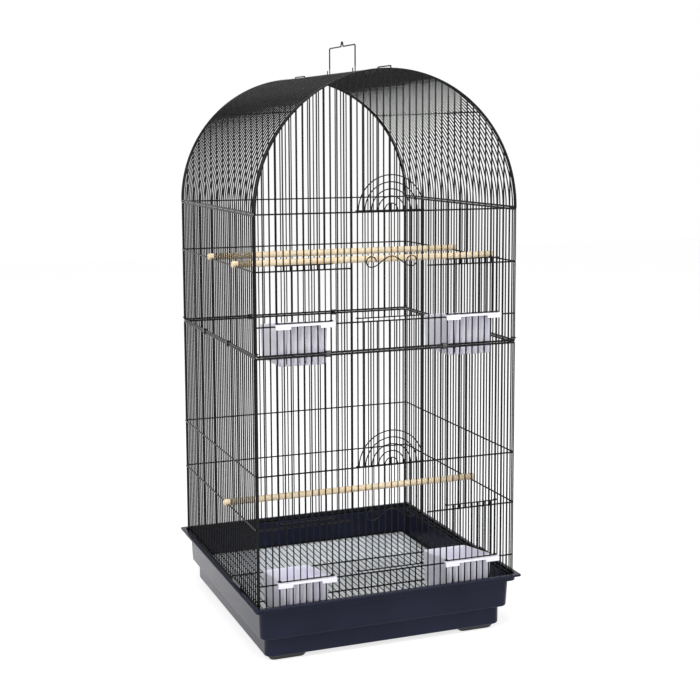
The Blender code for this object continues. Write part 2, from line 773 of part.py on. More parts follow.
def floor_grille(name, material):
    reach = TRAY_RIM_REACH - GRILLE_SIDE_GAP - HALF_FRAME
    half_x = HALF_WIDTH + reach
    half_y = HALF_DEPTH + reach
    height = TRAY_RIM + SEAT_GAP + HALF_FRAME
    outlines = []
    for grow in (HALF_FRAME, -HALF_FRAME):
        outlines.append(rounded_rectangle(half_x + grow, half_y + grow, 0.004 + grow, 1))
    placed = Matrix.Translation((0, 0, height))
    grille = plate_object(name, outlines, FRAME_WIRE, material, placed)
    bm = bmesh.new()
    for x in centred_rows(half_x, 0):
        add_wire(bm, ((x, -half_y, height), (x, half_y, height)), BAR_CORNER, (0, 0, -1))
    for y in (-GRILLE_CROSS_WIRE, GRILLE_CROSS_WIRE):
        level = height + RAIL_PLANE
        add_box(
            bm,
            (-half_x, y - HALF_RAIL, level - HALF_RAIL),
            (half_x, y + HALF_RAIL, level + HALF_RAIL),
        )
    combine(grille, object_from_bmesh(name + "_wires", bm))
    return grille


def foot(name, side_x, side_y, material):
    half = FOOT_LENGTH / 2
    reach = PAN_TIER_REACH - PAN_ROUNDING - FOOT_INSET - half
    centre_x = side_x * (HALF_WIDTH + reach)
    centre_y = side_y * (HALF_DEPTH + reach)
    bm = bmesh.new()
    top = rounded_rectangle(half, half, 0.006, 2)
    bottom = rounded_rectangle(half - FOOT_BEVEL, half - FOOT_BEVEL, 0.004, 2)
    add_tapered_block(bm, bottom, 0.0, top, FOOT_HEIGHT - SEAT_GAP)
    pad = object_from_bmesh(name, bm, material)
    pad.location = (centre_x, centre_y, 0.0)
    return pad


# Perches, handle and clips

def perch(name, row, level, material):
    """A dowel whose slit ends straddle a side bar and whose notches sit on the side rails."""
    rail = MIDDLE_RAIL_HIGH if level == "high" else MIDDLE_RAIL_LOW
    y = row * BAR_PITCH
    z = rail + PERCH_RISE
    half = HALF_WIDTH + PERCH_REACH
    bm = bmesh.new()
    lie = Matrix.Translation((0, y, z)) @ Matrix.Rotation(math.radians(90), 4, "Y")
    bmesh.ops.create_cone(
        bm,
        cap_ends=True,
        segments=12,
        radius1=PERCH_RADIUS,
        radius2=PERCH_RADIUS,
        depth=2 * half,
        matrix=lie,
    )
    dowel = object_from_bmesh(name, bm, material)
    bm = bmesh.new()
    slit = BAR_CORNER + SEAT_GAP
    rail_in = HALF_WIDTH + RAIL_PLANE - HALF_RAIL - SEAT_GAP
    rail_out = HALF_WIDTH + RAIL_PLANE + HALF_RAIL + SEAT_GAP
    reach = 2 * PERCH_RADIUS
    for side in (-1, 1):
        ends = sorted((side * (HALF_WIDTH - slit), side * (half + PERCH_RADIUS)))
        add_box(bm, (ends[0], y - slit, z - reach), (ends[1], y + slit, z + reach))
        ends = sorted((side * rail_in, side * rail_out))
        add_box(bm, (ends[0], y - reach, z - reach), (ends[1], y + reach, rail + HALF_RAIL + SEAT_GAP))
    cutter = object_from_bmesh(name + "_cuts", bm)
    combine(dowel, cutter, "DIFFERENCE")
    return dowel


def carry_handle(name, material):
    """A wire bail whose legs hook under two roof arcs, drawn about its hinge line."""
    hinge = ARCH_SPRING + HALF_WIDTH - BAR_CORNER / 2 - SEAT_GAP - HANDLE_WIRE
    ridge = ARCH_SPRING + HALF_WIDTH - hinge
    half_pitch = BAR_PITCH / 2
    near = HANDLE_HOOKS[0] * BAR_PITCH - half_pitch
    far = HANDLE_HOOKS[1] * BAR_PITCH - half_pitch
    top = ridge + HANDLE_HEIGHT
    lug = ridge + HANDLE_LUG
    middle = (near + far) / 2
    bend = 0.002
    peak = 0.004
    path = [
        (near + BAR_PITCH, lug),
        (near + BAR_PITCH, bend),
        (near + BAR_PITCH - bend, 0.0),
        (near + bend, 0.0),
        (near, bend),
        (near, top - bend),
        (near + bend, top),
        (middle - peak, top),
        (middle - peak / 3, top + HANDLE_PEAK),
        (middle + peak / 3, top + HANDLE_PEAK),
        (middle + peak, top),
        (far - bend, top),
        (far, top - bend),
        (far, bend),
        (far + bend, 0.0),
        (far + BAR_PITCH - bend, 0.0),
        (far + BAR_PITCH, bend),
        (far + BAR_PITCH, lug),
    ]
    handle = wire_object(name, [(0.0, y, z) for y, z in path], HANDLE_WIRE, (1, 0, 0), material)
    handle.location.z = hinge
    return handle


def channel_outline(sheet):
    """Section of a clip round the two rails of the section joint: a plate with two lips."""
    outer = HALF_FRAME + SEAT_GAP
    rails = FRAME_WIRE + SEAT_GAP * 1.5
    return [
        (-outer - sheet, -rails - sheet),
        (outer + sheet, -rails - sheet),
        (outer + sheet, -rails + sheet),
        (outer, -rails + sheet),
        (outer, -rails),
        (-outer, -rails),
        (-outer, rails),
        (outer, rails),
        (outer, rails - sheet),
        (outer + sheet, rails - sheet),
        (outer + sheet, rails + sheet),
        (-outer - sheet, rails + sheet),
    ]


def joint_clip(name, place, turn, material):
    """A sheet clip pushed over both joint rails; turn is 0 for the front, 90 for the right side."""
    section = channel_outline(CLIP_SHEET)
    stand = Matrix.Rotation(math.radians(90), 4, "Z") @ Matrix.Rotation(math.radians(90), 4, "X")
    face = Matrix.Rotation(math.radians(turn), 4, "Z")
    clip = plate_object(name, [section], CLIP_WIDTH, material, face @ stand)
    clip.location = place
    return clip


def ridge_clip(name, end, material):
    """A wire staple over the ridge, from inside the roof to in front of the arch."""
    ridge = ARCH_SPRING + HALF_WIDTH
    over = ridge + BAR_CORNER + RIDGE_CLIP_RISE
    last_arc = centred_rows(SIDE_POST, 0.5)[-1]
    inner = last_arc - (RIDGE_CLIP_ARCS - 0.5) * BAR_PITCH
    outer = HALF_DEPTH + HALF_FRAME + SEAT_GAP + HANDLE_WIRE
    foot_z = ridge - RIDGE_CLIP_LEG
    bend = 0.002
    path = [
        (inner, foot_z),
        (inner, over - bend),
        (inner + bend, over),
        (outer - bend, over),
        (outer, over - bend),
        (outer, foot_z),
    ]
    return wire_object(name, [(0.0, end * y, z) for y, z in path], HANDLE_WIRE, (1, 0, 0), material)


def rim_clip(name, side, material):
    """A springy tab that stands in the seat of the pan and grips the foot of the side wall."""
    lip = HALF_WIDTH + PAN_SEAT_REACH - SEAT_GAP
    hook = HALF_WIDTH + PAN_SKIRT_REACH
    grip = HALF_WIDTH + HALF_FRAME + SEAT_GAP
    top = PAN_HEIGHT + RIM_CLIP_RISE
    bm = bmesh.new()
    outline = [
        (grip, PAN_SEAT + SEAT_GAP),
        (lip, PAN_SEAT + SEAT_GAP),
        (lip, PAN_HEIGHT + SEAT_GAP),
        (hook, PAN_HEIGHT + SEAT_GAP),
        (hook, top - 0.002),
        (hook - 0.002, top),
        (grip, top),
    ]
    half = RIM_CLIP_LENGTH / 2
    ring = [bm.verts.new((side * x, RIM_CLIP_PLACE - half, z)) for x, z in outline]
    face = bm.faces.new(ring)
    grown = bmesh.ops.extrude_face_region(bm, geom=[face])
    moved = [item for item in grown["geom"] if isinstance(item, bmesh.types.BMVert)]
    bmesh.ops.translate(bm, vec=(0, RIM_CLIP_LENGTH, 0), verts=moved)
    return object_from_bmesh(name, bm, material)


# Assembly

clear_scene()
parts = bpy.data.collections.new("bird_cage")
bpy.context.scene.collection.children.link(parts)

wire_black = make_material("wire_black", (0.012, 0.012, 0.014), 0.35)
pan_navy = make_material("pan_navy", (0.040, 0.041, 0.062), 0.32)
foot_black = make_material("foot_black", (0.012, 0.012, 0.013), 0.6)
cup_white = make_material("cup_white", (0.80, 0.80, 0.84), 0.35)
tray_white = make_material("tray_white", (0.78, 0.82, 0.86), 0.4)
perch_wood = make_material("perch_wood", (0.78, 0.62, 0.42), 0.6)

base_pan("base_pan", pan_navy)
waste_tray("waste_tray", tray_white)
floor_grille("floor_grille", wire_black)
for depth_name, side_y in (("front", -1), ("back", 1)):
    for width_name, side_x in (("left", -1), ("right", 1)):
        foot("foot_" + depth_name + "_" + width_name, side_x, side_y, foot_black)

LOW_OPENING = (MIDDLE_RAIL_LOW, TOP_RAIL_LOW)
HIGH_OPENING = (MIDDLE_RAIL_HIGH, ARCH_SPRING)
front_panel("lower_front_panel", CAGE_FOOT, FEEDER_RAIL_LOW, LOW_OPENING, JOINT_RAIL_LOW, wire_black)
front_panel("upper_front_panel", JOINT_RAIL_HIGH, FEEDER_RAIL_HIGH, HIGH_OPENING, None, wire_black)
back_panel("lower_back_panel", CAGE_FOOT, LOW_OPENING, JOINT_RAIL_LOW, wire_black)
back_panel("upper_back_panel", JOINT_RAIL_HIGH, HIGH_OPENING, None, wire_black)
for width_name, side in (("left", -1), ("right", 1)):
    low_name = "lower_" + width_name + "_panel"
    high_name = "upper_" + width_name + "_panel"
    side_panel(low_name, side, CAGE_FOOT, LOW_OPENING, JOINT_RAIL_LOW, wire_black)
    side_panel(high_name, side, JOINT_RAIL_HIGH, (MIDDLE_RAIL_HIGH,), SIDE_TOP_RAIL, wire_black)
    rim_clip("rim_clip_" + width_name, side, foot_black)
roof_panel("roof_panel", wire_black)

LEVELS = (
    ("lower", FEEDER_RAIL_LOW, MIDDLE_RAIL_LOW, TOP_RAIL_LOW),
    ("upper", FEEDER_RAIL_HIGH, MIDDLE_RAIL_HIGH, ARCH_SPRING),
)
for level_name, sill, middle, lintel in LEVELS:
    main_door(level_name + "_door", sill, lintel, wire_black)
    for width_name, side in (("left", -1), ("right", 1)):
        feeder_name = level_name + "_" + width_name + "_feeder"
        feeder_x = side * FEEDER_CENTRE * BAR_PITCH
        feeder_cup(feeder_name, feeder_x, sill, cup_white)
        feeder_door(feeder_name + "_door", feeder_x, sill, middle, wire_black)

for perch_name, row, level in PERCH_ROWS:
    perch(perch_name, row, level, perch_wood)

carry_handle("carry_handle", wire_black)
ridge_clip("ridge_clip_front", -1, wire_black)
ridge_clip("ridge_clip_back", 1, wire_black)

for number, place in enumerate(FRONT_CLIPS, start=1):
    clip_at = (place * BAR_PITCH, FRONT, SECTION_JOINT)
    joint_clip("joint_clip_front_" + str(number), clip_at, 0, wire_black)
for number, place in enumerate(BACK_CLIPS, start=1):
    clip_at = (place * BAR_PITCH, HALF_DEPTH, SECTION_JOINT)
    joint_clip("joint_clip_back_" + str(number), clip_at, 180, wire_black)
for number, place in enumerate(SIDE_CLIPS, start=1):
    for width_name, side in (("left", -1), ("right", 1)):
        clip_at = (side * HALF_WIDTH, place * BAR_PITCH, SECTION_JOINT)
        clip_name = "joint_clip_" + width_name + "_" + str(number)
        joint_clip(clip_name, clip_at, side * 90, wire_black)
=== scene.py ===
import math
import bmesh
import bpy
from mathutils import Matrix, Vector


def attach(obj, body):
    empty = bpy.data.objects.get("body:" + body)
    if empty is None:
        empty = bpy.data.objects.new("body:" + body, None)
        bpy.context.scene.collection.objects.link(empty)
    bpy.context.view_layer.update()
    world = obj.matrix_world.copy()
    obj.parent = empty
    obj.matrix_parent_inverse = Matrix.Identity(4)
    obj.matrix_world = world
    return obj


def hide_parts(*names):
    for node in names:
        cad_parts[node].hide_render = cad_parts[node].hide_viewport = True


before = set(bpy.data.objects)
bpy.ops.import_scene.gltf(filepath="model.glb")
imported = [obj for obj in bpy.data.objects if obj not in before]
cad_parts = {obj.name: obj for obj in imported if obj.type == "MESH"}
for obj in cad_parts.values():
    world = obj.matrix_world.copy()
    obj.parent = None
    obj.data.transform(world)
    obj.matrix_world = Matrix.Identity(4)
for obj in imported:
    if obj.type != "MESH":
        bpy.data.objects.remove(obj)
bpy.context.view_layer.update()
print("frame loaded:", len(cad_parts), "nodes")

# shared layout of the wire cage, in metres
cage = {
    "halfWidth": 0.200,
    "halfDepth": 0.205,
    "pitch": 0.010,
    "foot": 0.0868,
    "feederLow": 0.119,
    "middleLow": 0.200,
    "topLow": 0.277,
    "jointLow": 0.44435,
    "jointHigh": 0.44765,
    "feederHigh": 0.488,
    "middleHigh": 0.565,
    "spring": 0.644,
    "sideTop": 0.64235,
    "roofFoot": 0.64565,
    "sidePost": 0.20055,  # where the end posts of the side panels stand
    "barClearance": 0.0041,  # least room from the last bar to a post
    "archSteps": 72,
}
wire = {
    "bar": 0.00104,
    "roofBar": 0.001,
    "grilleBar": 0.00074,
    "sill": 0.00112,
    "rail": 0.00115,
    "frameWire": 0.0015,
    "arch": 0.00145,
    "post": 0.0009,
    "railBehind": 0.00195,  # a rail touches the bars from behind
}
halfWidth = cage["halfWidth"]
halfDepth = cage["halfDepth"]
pitch = cage["pitch"]


# colour and node helpers

def toLinear(r, g, b):
    out = []
    for value in (r, g, b):
        share = value / 255
        out.append(share / 12.92 if share <= 0.04045 else ((share + 0.055) / 1.055) ** 2.4)
    return (*out, 1.0)


def newGroup(name, inputs, outputs):
    group = bpy.data.node_groups.new(name, "ShaderNodeTree")
    for label, kind, value in inputs:
        socket = group.interface.new_socket(name=label, in_out="INPUT", socket_type=kind)
        if value is not None:
            socket.default_value = value
    for label, kind in outputs:
        group.interface.new_socket(name=label, in_out="OUTPUT", socket_type=kind)
    return group, group.nodes.new("NodeGroupInput"), group.nodes.new("NodeGroupOutput")


def addNode(tree, kind, inputs=None, **settings):
    node = tree.nodes.new(kind)
    for key, value in settings.items():
        setattr(node, key, value)
    for key, value in (inputs or {}).items():
        if hasattr(value, "is_output"):
            tree.links.new(value, node.inputs[key])
        else:
            node.inputs[key].default_value = value
    return node


def mathNode(tree, operation, first, second=0.0, clamp=False):
    node = addNode(tree, "ShaderNodeMath", {0: first, 1: second}, operation=operation)
    node.use_clamp = clamp
    return node.outputs[0]


def mixColour(tree, factor, first, second):
    mixed = addNode(tree, "ShaderNodeMix", {0: factor, 6: first, 7: second}, data_type="RGBA")
    return mixed.outputs[2]


def spread(tree, value, low, high, newLow, newHigh):
    node = addNode(tree, "ShaderNodeMapRange", {0: value, 1: low, 2: high, 3: newLow, 4: newHigh})
    node.clamp = True
    return node.outputs[0]


# node groups

surfaceSockets = [
    ("Colour", "NodeSocketColor"),
    ("Roughness", "NodeSocketFloat"),
    ("Height", "NodeSocketFloat"),
]


def surfaceOut(group, end, colour, rough, height):
    for label, value in (("Colour", colour), ("Roughness", rough), ("Height", height)):
        group.links.new(value, end.inputs[label])
    return group


def makeMouldedSkin():
    # moulded plastic: faint cloudy colour, fine pebble and a few long flow marks
    group, start, end = newGroup(
        "mouldedSkin",
        [("Base", "NodeSocketColor", (0.5, 0.5, 0.5, 1.0)),
         ("Cloud", "NodeSocketColor", (0.6, 0.6, 0.6, 1.0)),
         ("Grain Size", "NodeSocketFloat", 900.0),
         ("Gloss", "NodeSocketFloat", 0.3),
         ("Gloss Change", "NodeSocketFloat", 0.08)],
        surfaceSockets,
    )
    place = addNode(group, "ShaderNodeTexCoord").outputs["Object"]
    cloud = addNode(group, "ShaderNodeTexNoise", {"Vector": place, "Scale": 14.0, "Detail": 4.0})
    grainSize = start.outputs["Grain Size"]
    grain = addNode(group, "ShaderNodeTexNoise", {"Vector": place, "Scale": grainSize, "Detail": 2.0})
    stretched = addNode(group, "ShaderNodeMapping", {"Vector": place, "Scale": (1.0, 1.0, 9.0)}).outputs[0]
    flow = addNode(group, "ShaderNodeTexNoise", {"Vector": stretched, "Scale": 22.0, "Detail": 3.0})
    mask = spread(group, cloud.outputs["Fac"], 0.35, 0.7, 0.0, 1.0)
    colour = mixColour(group, mask, start.outputs["Base"], start.outputs["Cloud"])
    swing = mathNode(group, "SUBTRACT", flow.outputs["Fac"], 0.5)
    change = mathNode(group, "MULTIPLY", start.outputs["Gloss Change"], swing)
    change = mathNode(group, "MULTIPLY", change, 2.0)
    rough = mathNode(group, "ADD", start.outputs["Gloss"], change, clamp=True)
    marks = mathNode(group, "MULTIPLY", flow.outputs["Fac"], 0.6)
    height = mathNode(group, "ADD", grain.outputs["Fac"], marks)
    return surfaceOut(group, end, colour, rough, height)


def makeDustFall():
    # settled dust and scuffs: a mask that is stronger on faces that look up
    group, start, end = newGroup(
        "dustFall",
        [("Scale", "NodeSocketFloat", 220.0), ("Amount", "NodeSocketFloat", 0.3)],
        [("Mask", "NodeSocketFloat")],
    )
    place = addNode(group, "ShaderNodeTexCoord").outputs["Object"]
    normal = addNode(group, "ShaderNodeNewGeometry").outputs["Normal"]
    upward = addNode(group, "ShaderNodeSeparateXYZ", {0: normal}).outputs["Z"]
    facing = spread(group, upward, 0.2, 0.95, 0.15, 1.0)
    specks = addNode(group, "ShaderNodeTexVoronoi", {"Vector": place, "Scale": start.outputs["Scale"]})
    dots = spread(group, specks.outputs["Distance"], 0.05, 0.22, 1.0, 0.0)
    patches = addNode(group, "ShaderNodeTexNoise", {"Vector": place, "Scale": 60.0, "Detail": 5.0})
    share = spread(group, patches.outputs["Fac"], 0.48, 0.68, 0.0, 1.0)
    mask = mathNode(group, "MULTIPLY", mathNode(group, "MULTIPLY", dots, share), facing)
    mask = mathNode(group, "MULTIPLY", mask, start.outputs["Amount"], clamp=True)
    group.links.new(mask, end.inputs["Mask"])
    return group


def makeEnamel():
    # dipped black coat on wire: small runs along the wire and pinholes
    group, start, end = newGroup(
        "enamelCoat",
        [("Coat", "NodeSocketColor", (0.01, 0.01, 0.01, 1.0)),
         ("Thin Coat", "NodeSocketColor", (0.03, 0.03, 0.03, 1.0)),
         ("Gloss", "NodeSocketFloat", 0.35)],
        surfaceSockets,
    )
    place = addNode(group, "ShaderNodeTexCoord").outputs["Object"]
    runs = addNode(group, "ShaderNodeTexNoise", {"Vector": place, "Scale": 160.0, "Detail": 3.0})
    peel = addNode(group, "ShaderNodeTexNoise", {"Vector": place, "Scale": 1400.0, "Detail": 2.0})
    thin = spread(group, runs.outputs["Fac"], 0.5, 0.75, 0.0, 1.0)
    colour = mixColour(group, thin, start.outputs["Coat"], start.outputs["Thin Coat"])
    dulled = mathNode(group, "MULTIPLY", thin, 0.14)
    rough = mathNode(group, "ADD", start.outputs["Gloss"], dulled, clamp=True)
    ripple = mathNode(group, "MULTIPLY", runs.outputs["Fac"], 0.5)
    height = mathNode(group, "ADD", peel.outputs["Fac"], ripple)
    return surfaceOut(group, end, colour, rough, height)


def makeDowelGrain():
    # turned softwood: long fibres along X, slow rings and fine pores
    group, start, end = newGroup(
        "dowelGrain",
        [("Pale", "NodeSocketColor", (0.8, 0.6, 0.4, 1.0)),
         ("Dark", "NodeSocketColor", (0.5, 0.3, 0.15, 1.0)),
         ("Shift", "NodeSocketFloat", 0.0)],
        surfaceSockets,
    )
    place = addNode(group, "ShaderNodeTexCoord").outputs["Object"]
    shift = start.outputs["Shift"]
    moved = addNode(group, "ShaderNodeVectorMath", {0: place, 1: shift}, operation="ADD").outputs[0]
    along = addNode(group, "ShaderNodeMapping", {"Vector": moved, "Scale": (9.0, 260.0, 260.0)}).outputs[0]
    bandLook = {"Vector": along, "Scale": 1.0, "Detail": 4.0, "Distortion": 0.4}
    bands = addNode(group, "ShaderNodeTexNoise", bandLook)
    thin = (40.0, 1500.0, 1500.0)
    fine = addNode(group, "ShaderNodeMapping", {"Vector": moved, "Scale": thin}).outputs[0]
    fibre = addNode(group, "ShaderNodeTexNoise", {"Vector": fine, "Scale": 1.0, "Detail": 3.0})
    slow = addNode(group, "ShaderNodeTexNoise", {"Vector": moved, "Scale": 18.0, "Detail": 2.0})
    broad = spread(group, bands.outputs["Fac"], 0.4, 0.72, 0.0, 0.8)
    threads = spread(group, fibre.outputs["Fac"], 0.45, 0.8, 0.0, 0.35)
    patches = spread(group, slow.outputs["Fac"], 0.3, 0.7, 0.55, 1.0)
    mask = mathNode(group, "ADD", broad, threads)
    mask = mathNode(group, "MULTIPLY", mask, patches, clamp=True)
    colour = mixColour(group, mask, start.outputs["Pale"], start.outputs["Dark"])
    rough = spread(group, fibre.outputs["Fac"], 0.3, 0.7, 0.5, 0.68)
    return surfaceOut(group, end, colour, rough, fibre.outputs["Fac"])


mouldedSkin = makeMouldedSkin()
dustFall = makeDustFall()
enamelCoat = makeEnamel()
dowelGrain = makeDowelGrain()


# materials

def startMaterial(name):
    material = bpy.data.materials.new(name)
    material.use_nodes = True
    return material, material.node_tree, material.node_tree.nodes["Principled BSDF"]


def useGroup(tree, group, values):
    node = tree.nodes.new("ShaderNodeGroup")
    node.node_tree = group
    for key, value in values.items():
        node.inputs[key].default_value = value
    return node


def bumpInto(tree, shader, height, strength, distance):
    bump = addNode(tree, "ShaderNodeBump", {"Height": height, "Strength": strength, "Distance": distance})
    tree.links.new(bump.outputs["Normal"], shader.inputs["Normal"])


def plasticMaterial(name, look):
    material, tree, shader = startMaterial(name)
    skin = useGroup(tree, mouldedSkin, {
        "Base": look["base"], "Cloud": look["cloud"], "Grain Size": look["grainSize"],
        "Gloss": look["gloss"], "Gloss Change": look["glossChange"],
    })
    dust = useGroup(tree, dustFall, {"Scale": look["dustScale"], "Amount": look["dust"]})
    colour = mixColour(tree, dust.outputs["Mask"], skin.outputs["Colour"], look["dustColour"])
    dulled = mathNode(tree, "MULTIPLY", dust.outputs["Mask"], 0.4)
    rough = mathNode(tree, "ADD", skin.outputs["Roughness"], dulled, clamp=True)
    tree.links.new(colour, shader.inputs["Base Color"])
    tree.links.new(rough, shader.inputs["Roughness"])
    shader.inputs["Specular IOR Level"].default_value = look["specular"]
    shader.inputs["Specular Tint"].default_value = look.get("tint", (1.0, 1.0, 1.0, 1.0))
    shader.inputs["Subsurface Weight"].default_value = look.get("glow", 0.0)
    shader.inputs["Subsurface Radius"].default_value = (0.004, 0.004, 0.005)
    shader.inputs["Subsurface Scale"].default_value = 1.0
    bumpInto(tree, shader, skin.outputs["Height"], look["bump"], 0.0002)
    return material


def wireMaterial(name, look):
    material, tree, shader = startMaterial(name)
    coat = useGroup(tree, enamelCoat, {
        "Coat": look["coat"], "Thin Coat": look["thinCoat"], "Gloss": look["gloss"],
    })
    tree.links.new(coat.outputs["Colour"], shader.inputs["Base Color"])
    tree.links.new(coat.outputs["Roughness"], shader.inputs["Roughness"])
    shader.inputs["Specular IOR Level"].default_value = look["specular"]
    bumpInto(tree, shader, coat.outputs["Height"], look["bump"], 0.0001)
    return material


def woodMaterial(name, look):
    material, tree, shader = startMaterial(name)
    grain = useGroup(tree, dowelGrain, {"Pale": look["pale"], "Dark": look["dark"], "Shift": look["shift"]})
    tree.links.new(grain.outputs["Colour"], shader.inputs["Base Color"])
    tree.links.new(grain.outputs["Roughness"], shader.inputs["Roughness"])
    shader.inputs["Specular IOR Level"].default_value = 0.3
    bumpInto(tree, shader, grain.outputs["Height"], 0.35, 0.0002)
    return material


panPlastic = plasticMaterial("panPlastic", {
    "base": toLinear(29, 31, 46), "cloud": toLinear(34, 36, 52), "grainSize": 1400.0,
    "gloss": 0.2, "glossChange": 0.06, "specular": 0.12, "tint": (0.74, 0.78, 1.0, 1.0), "bump": 0.08,
    "dust": 0.35, "dustScale": 260.0, "dustColour": toLinear(150, 150, 160),
})
footRubber = plasticMaterial("footRubber", {
    "base": toLinear(20, 20, 22), "cloud": toLinear(28, 28, 30), "grainSize": 900.0,
    "gloss": 0.5, "glossChange": 0.1, "specular": 0.35, "bump": 0.25,
    "dust": 0.2, "dustScale": 300.0, "dustColour": toLinear(110, 110, 112),
})
cupPlastic = plasticMaterial("cupPlastic", {
    "base": toLinear(240, 238, 250), "cloud": toLinear(232, 230, 246), "grainSize": 1600.0,
    "gloss": 0.3, "glossChange": 0.08, "specular": 0.5, "bump": 0.08,
    "dust": 0.12, "dustScale": 320.0, "dustColour": toLinear(180, 176, 172), "glow": 0.15,
})
trayPlastic = plasticMaterial("trayPlastic", {
    "base": toLinear(248, 250, 253), "cloud": toLinear(240, 244, 249), "grainSize": 1200.0,
    "gloss": 0.36, "glossChange": 0.1, "specular": 0.45, "bump": 0.12,
    "dust": 0.15, "dustScale": 240.0, "dustColour": toLinear(168, 165, 160), "glow": 0.1,
})
blackWire = wireMaterial("blackWire", {
    "coat": toLinear(8, 8, 9), "thinCoat": toLinear(17, 17, 18),
    "gloss": 0.2, "specular": 0.12, "bump": 0.15,
})
springSteel = wireMaterial("springSteel", {
    "coat": toLinear(22, 22, 24), "thinCoat": toLinear(52, 51, 50),
    "gloss": 0.26, "specular": 0.6, "bump": 0.2,
})
perchWoods = [
    woodMaterial("perchWood" + str(number), {
        "pale": toLinear(246, 228, 196), "dark": toLinear(228, 198, 154), "shift": shift,
    })
    for number, shift in ((1, 0.0), (2, 0.37), (3, 0.81))
]
print("materials made")


# mesh and wire helpers

def addPiece(name, data, material, body, nodes):
    piece = bpy.data.objects.new(name, data)
    bpy.context.scene.collection.objects.link(piece)
    data.materials.append(material)
    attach(piece, body)
    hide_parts(*nodes)


def wirePiece(name, runs, body, nodes, sides=3):
    # runs are (points, radius, closed); all become round wires of one curve
    unitRadius = 0.001
    curve = bpy.data.curves.new(name, "CURVE")
    curve.dimensions = "3D"
    curve.twist_mode = "MINIMUM"
    curve.bevel_depth = unitRadius
    curve.bevel_resolution = sides
    curve.use_fill_caps = True
    for points, radius, closed in runs:
        spline = curve.splines.new("POLY")
        spline.points.add(len(points) - 1)
        for slot, point in zip(spline.points, points):
            slot.co = (*point, 1.0)
            slot.radius = radius / unitRadius
        spline.use_cyclic_u = closed
    addPiece(name, curve, blackWire, body, nodes)


def arcPoints(centre, radius, first, last, steps):
    points = []
    for step in range(steps + 1):
        angle = math.radians(first + (last - first) * step / steps)
        points.append((centre[0] + radius * math.cos(angle), centre[1] + radius * math.sin(angle)))
    return points


def roundCorners(points, radii, steps=5, closed=False):
    # fillets in the plane of the first two coordinates; a third one is carried along
    rounded = []
    count = len(points)
    for place, point in enumerate(points):
        radius = radii[place] if isinstance(radii, (list, tuple)) else radii
        if radius <= 0 or (not closed and place in (0, count - 1)):
            rounded.append(tuple(point))
            continue
        here = Vector(point)
        before = Vector(points[place - 1])
        after = Vector(points[(place + 1) % count])
        toBefore = before - here
        toAfter = after - here
        flatBefore = Vector((toBefore[0], toBefore[1]))
        flatAfter = Vector((toAfter[0], toAfter[1]))
        half = flatBefore.angle(flatAfter) / 2
        cut = min(radius / math.tan(half), 0.49 * flatBefore.length, 0.49 * flatAfter.length)
        start = here + toBefore * (cut / flatBefore.length)
        end = here + toAfter * (cut / flatAfter.length)
        for step in range(steps + 1):
            share = step / steps
            first = start.lerp(here, share)
            second = here.lerp(end, share)
            rounded.append(tuple(first.lerp(second, share)))
    return rounded


def roundedRectangle(halfX, halfY, radius, steps):
    points = []
    for corner, (sideX, sideY) in enumerate(((1, 1), (-1, 1), (-1, -1), (1, -1))):
        centre = (sideX * (halfX - radius), sideY * (halfY - radius))
        points += arcPoints(centre, radius, 90 * corner, 90 * corner + 90, steps)
    return points


def loftMesh(name, rings, sharpAngle=40):
    bm = bmesh.new()
    made = [[bm.verts.new(point) for point in ring] for ring in rings]
    for lower, upper in zip(made, made[1:]):
        for place in range(len(lower)):
            after = (place + 1) % len(lower)
            bm.faces.new((lower[place], lower[after], upper[after], upper[place]))
    bm.faces.new(made[0])
    bm.faces.new(made[-1])
    bmesh.ops.recalc_face_normals(bm, faces=bm.faces)
    return finishMesh(name, bm, sharpAngle)


def finishMesh(name, bm, sharpAngle):
    for face in bm.faces:
        face.smooth = True
    for edge in bm.edges:
        if len(edge.link_faces) == 2:
            edge.smooth = edge.calc_face_angle(0.0) < math.radians(sharpAngle)
    mesh = bpy.data.meshes.new(name)
    bm.to_mesh(mesh)
    bm.free()
    return mesh


def addBox(bm, lowCorner, highCorner):
    size = Vector(highCorner) - Vector(lowCorner)
    middle = (Vector(highCorner) + Vector(lowCorner)) / 2
    placed = Matrix.Translation(middle) @ Matrix.Diagonal((*size, 1.0))
    bmesh.ops.create_cube(bm, size=1.0, matrix=placed)


def booleanMesh(name, mesh, toolMesh, operation, bevel=0.0):
    # one closed body from two; with a bevel its sharp edges are broken
    base = bpy.data.objects.new(name, mesh)
    tool = bpy.data.objects.new(name + "Tool", toolMesh)
    for item in (base, tool):
        bpy.context.scene.collection.objects.link(item)
    joint = base.modifiers.new("joint", "BOOLEAN")
    joint.operation = operation
    joint.solver = "EXACT"
    joint.use_self = True
    joint.object = tool
    if bevel:
        softened = base.modifiers.new("softened", "BEVEL")
        softened.width = bevel
        softened.segments = 2
        softened.limit_method = "ANGLE"
        softened.angle_limit = math.radians(50)
    evaluated = base.evaluated_get(bpy.context.evaluated_depsgraph_get())
    made = bpy.data.meshes.new_from_object(evaluated)
    bpy.data.objects.remove(base)
    bpy.data.objects.remove(tool)
    bm = bmesh.new()
    bm.from_mesh(made)
    if bevel:
        bmesh.ops.remove_doubles(bm, verts=bm.verts, dist=0.000005)
        bmesh.ops.recalc_face_normals(bm, faces=bm.faces)
    return finishMesh(name, bm, 35)


def centredRows(halfSpan, first):
    places = []
    place = first * pitch
    while place < halfSpan - cage["barClearance"]:
        places.append(place)
        place += pitch
    return [-place for place in reversed(places) if place > 0] + places


def atFront(across, outward, height):
    return (across, -halfDepth - outward, height)


def atBack(across, outward, height):
    return (across, halfDepth + outward, height)


def atLeft(across, outward, height):
    return (-halfWidth - outward, across, height)


def atRight(across, outward, height):
    return (halfWidth + outward, across, height)


# pan, feet, tray and floor grille

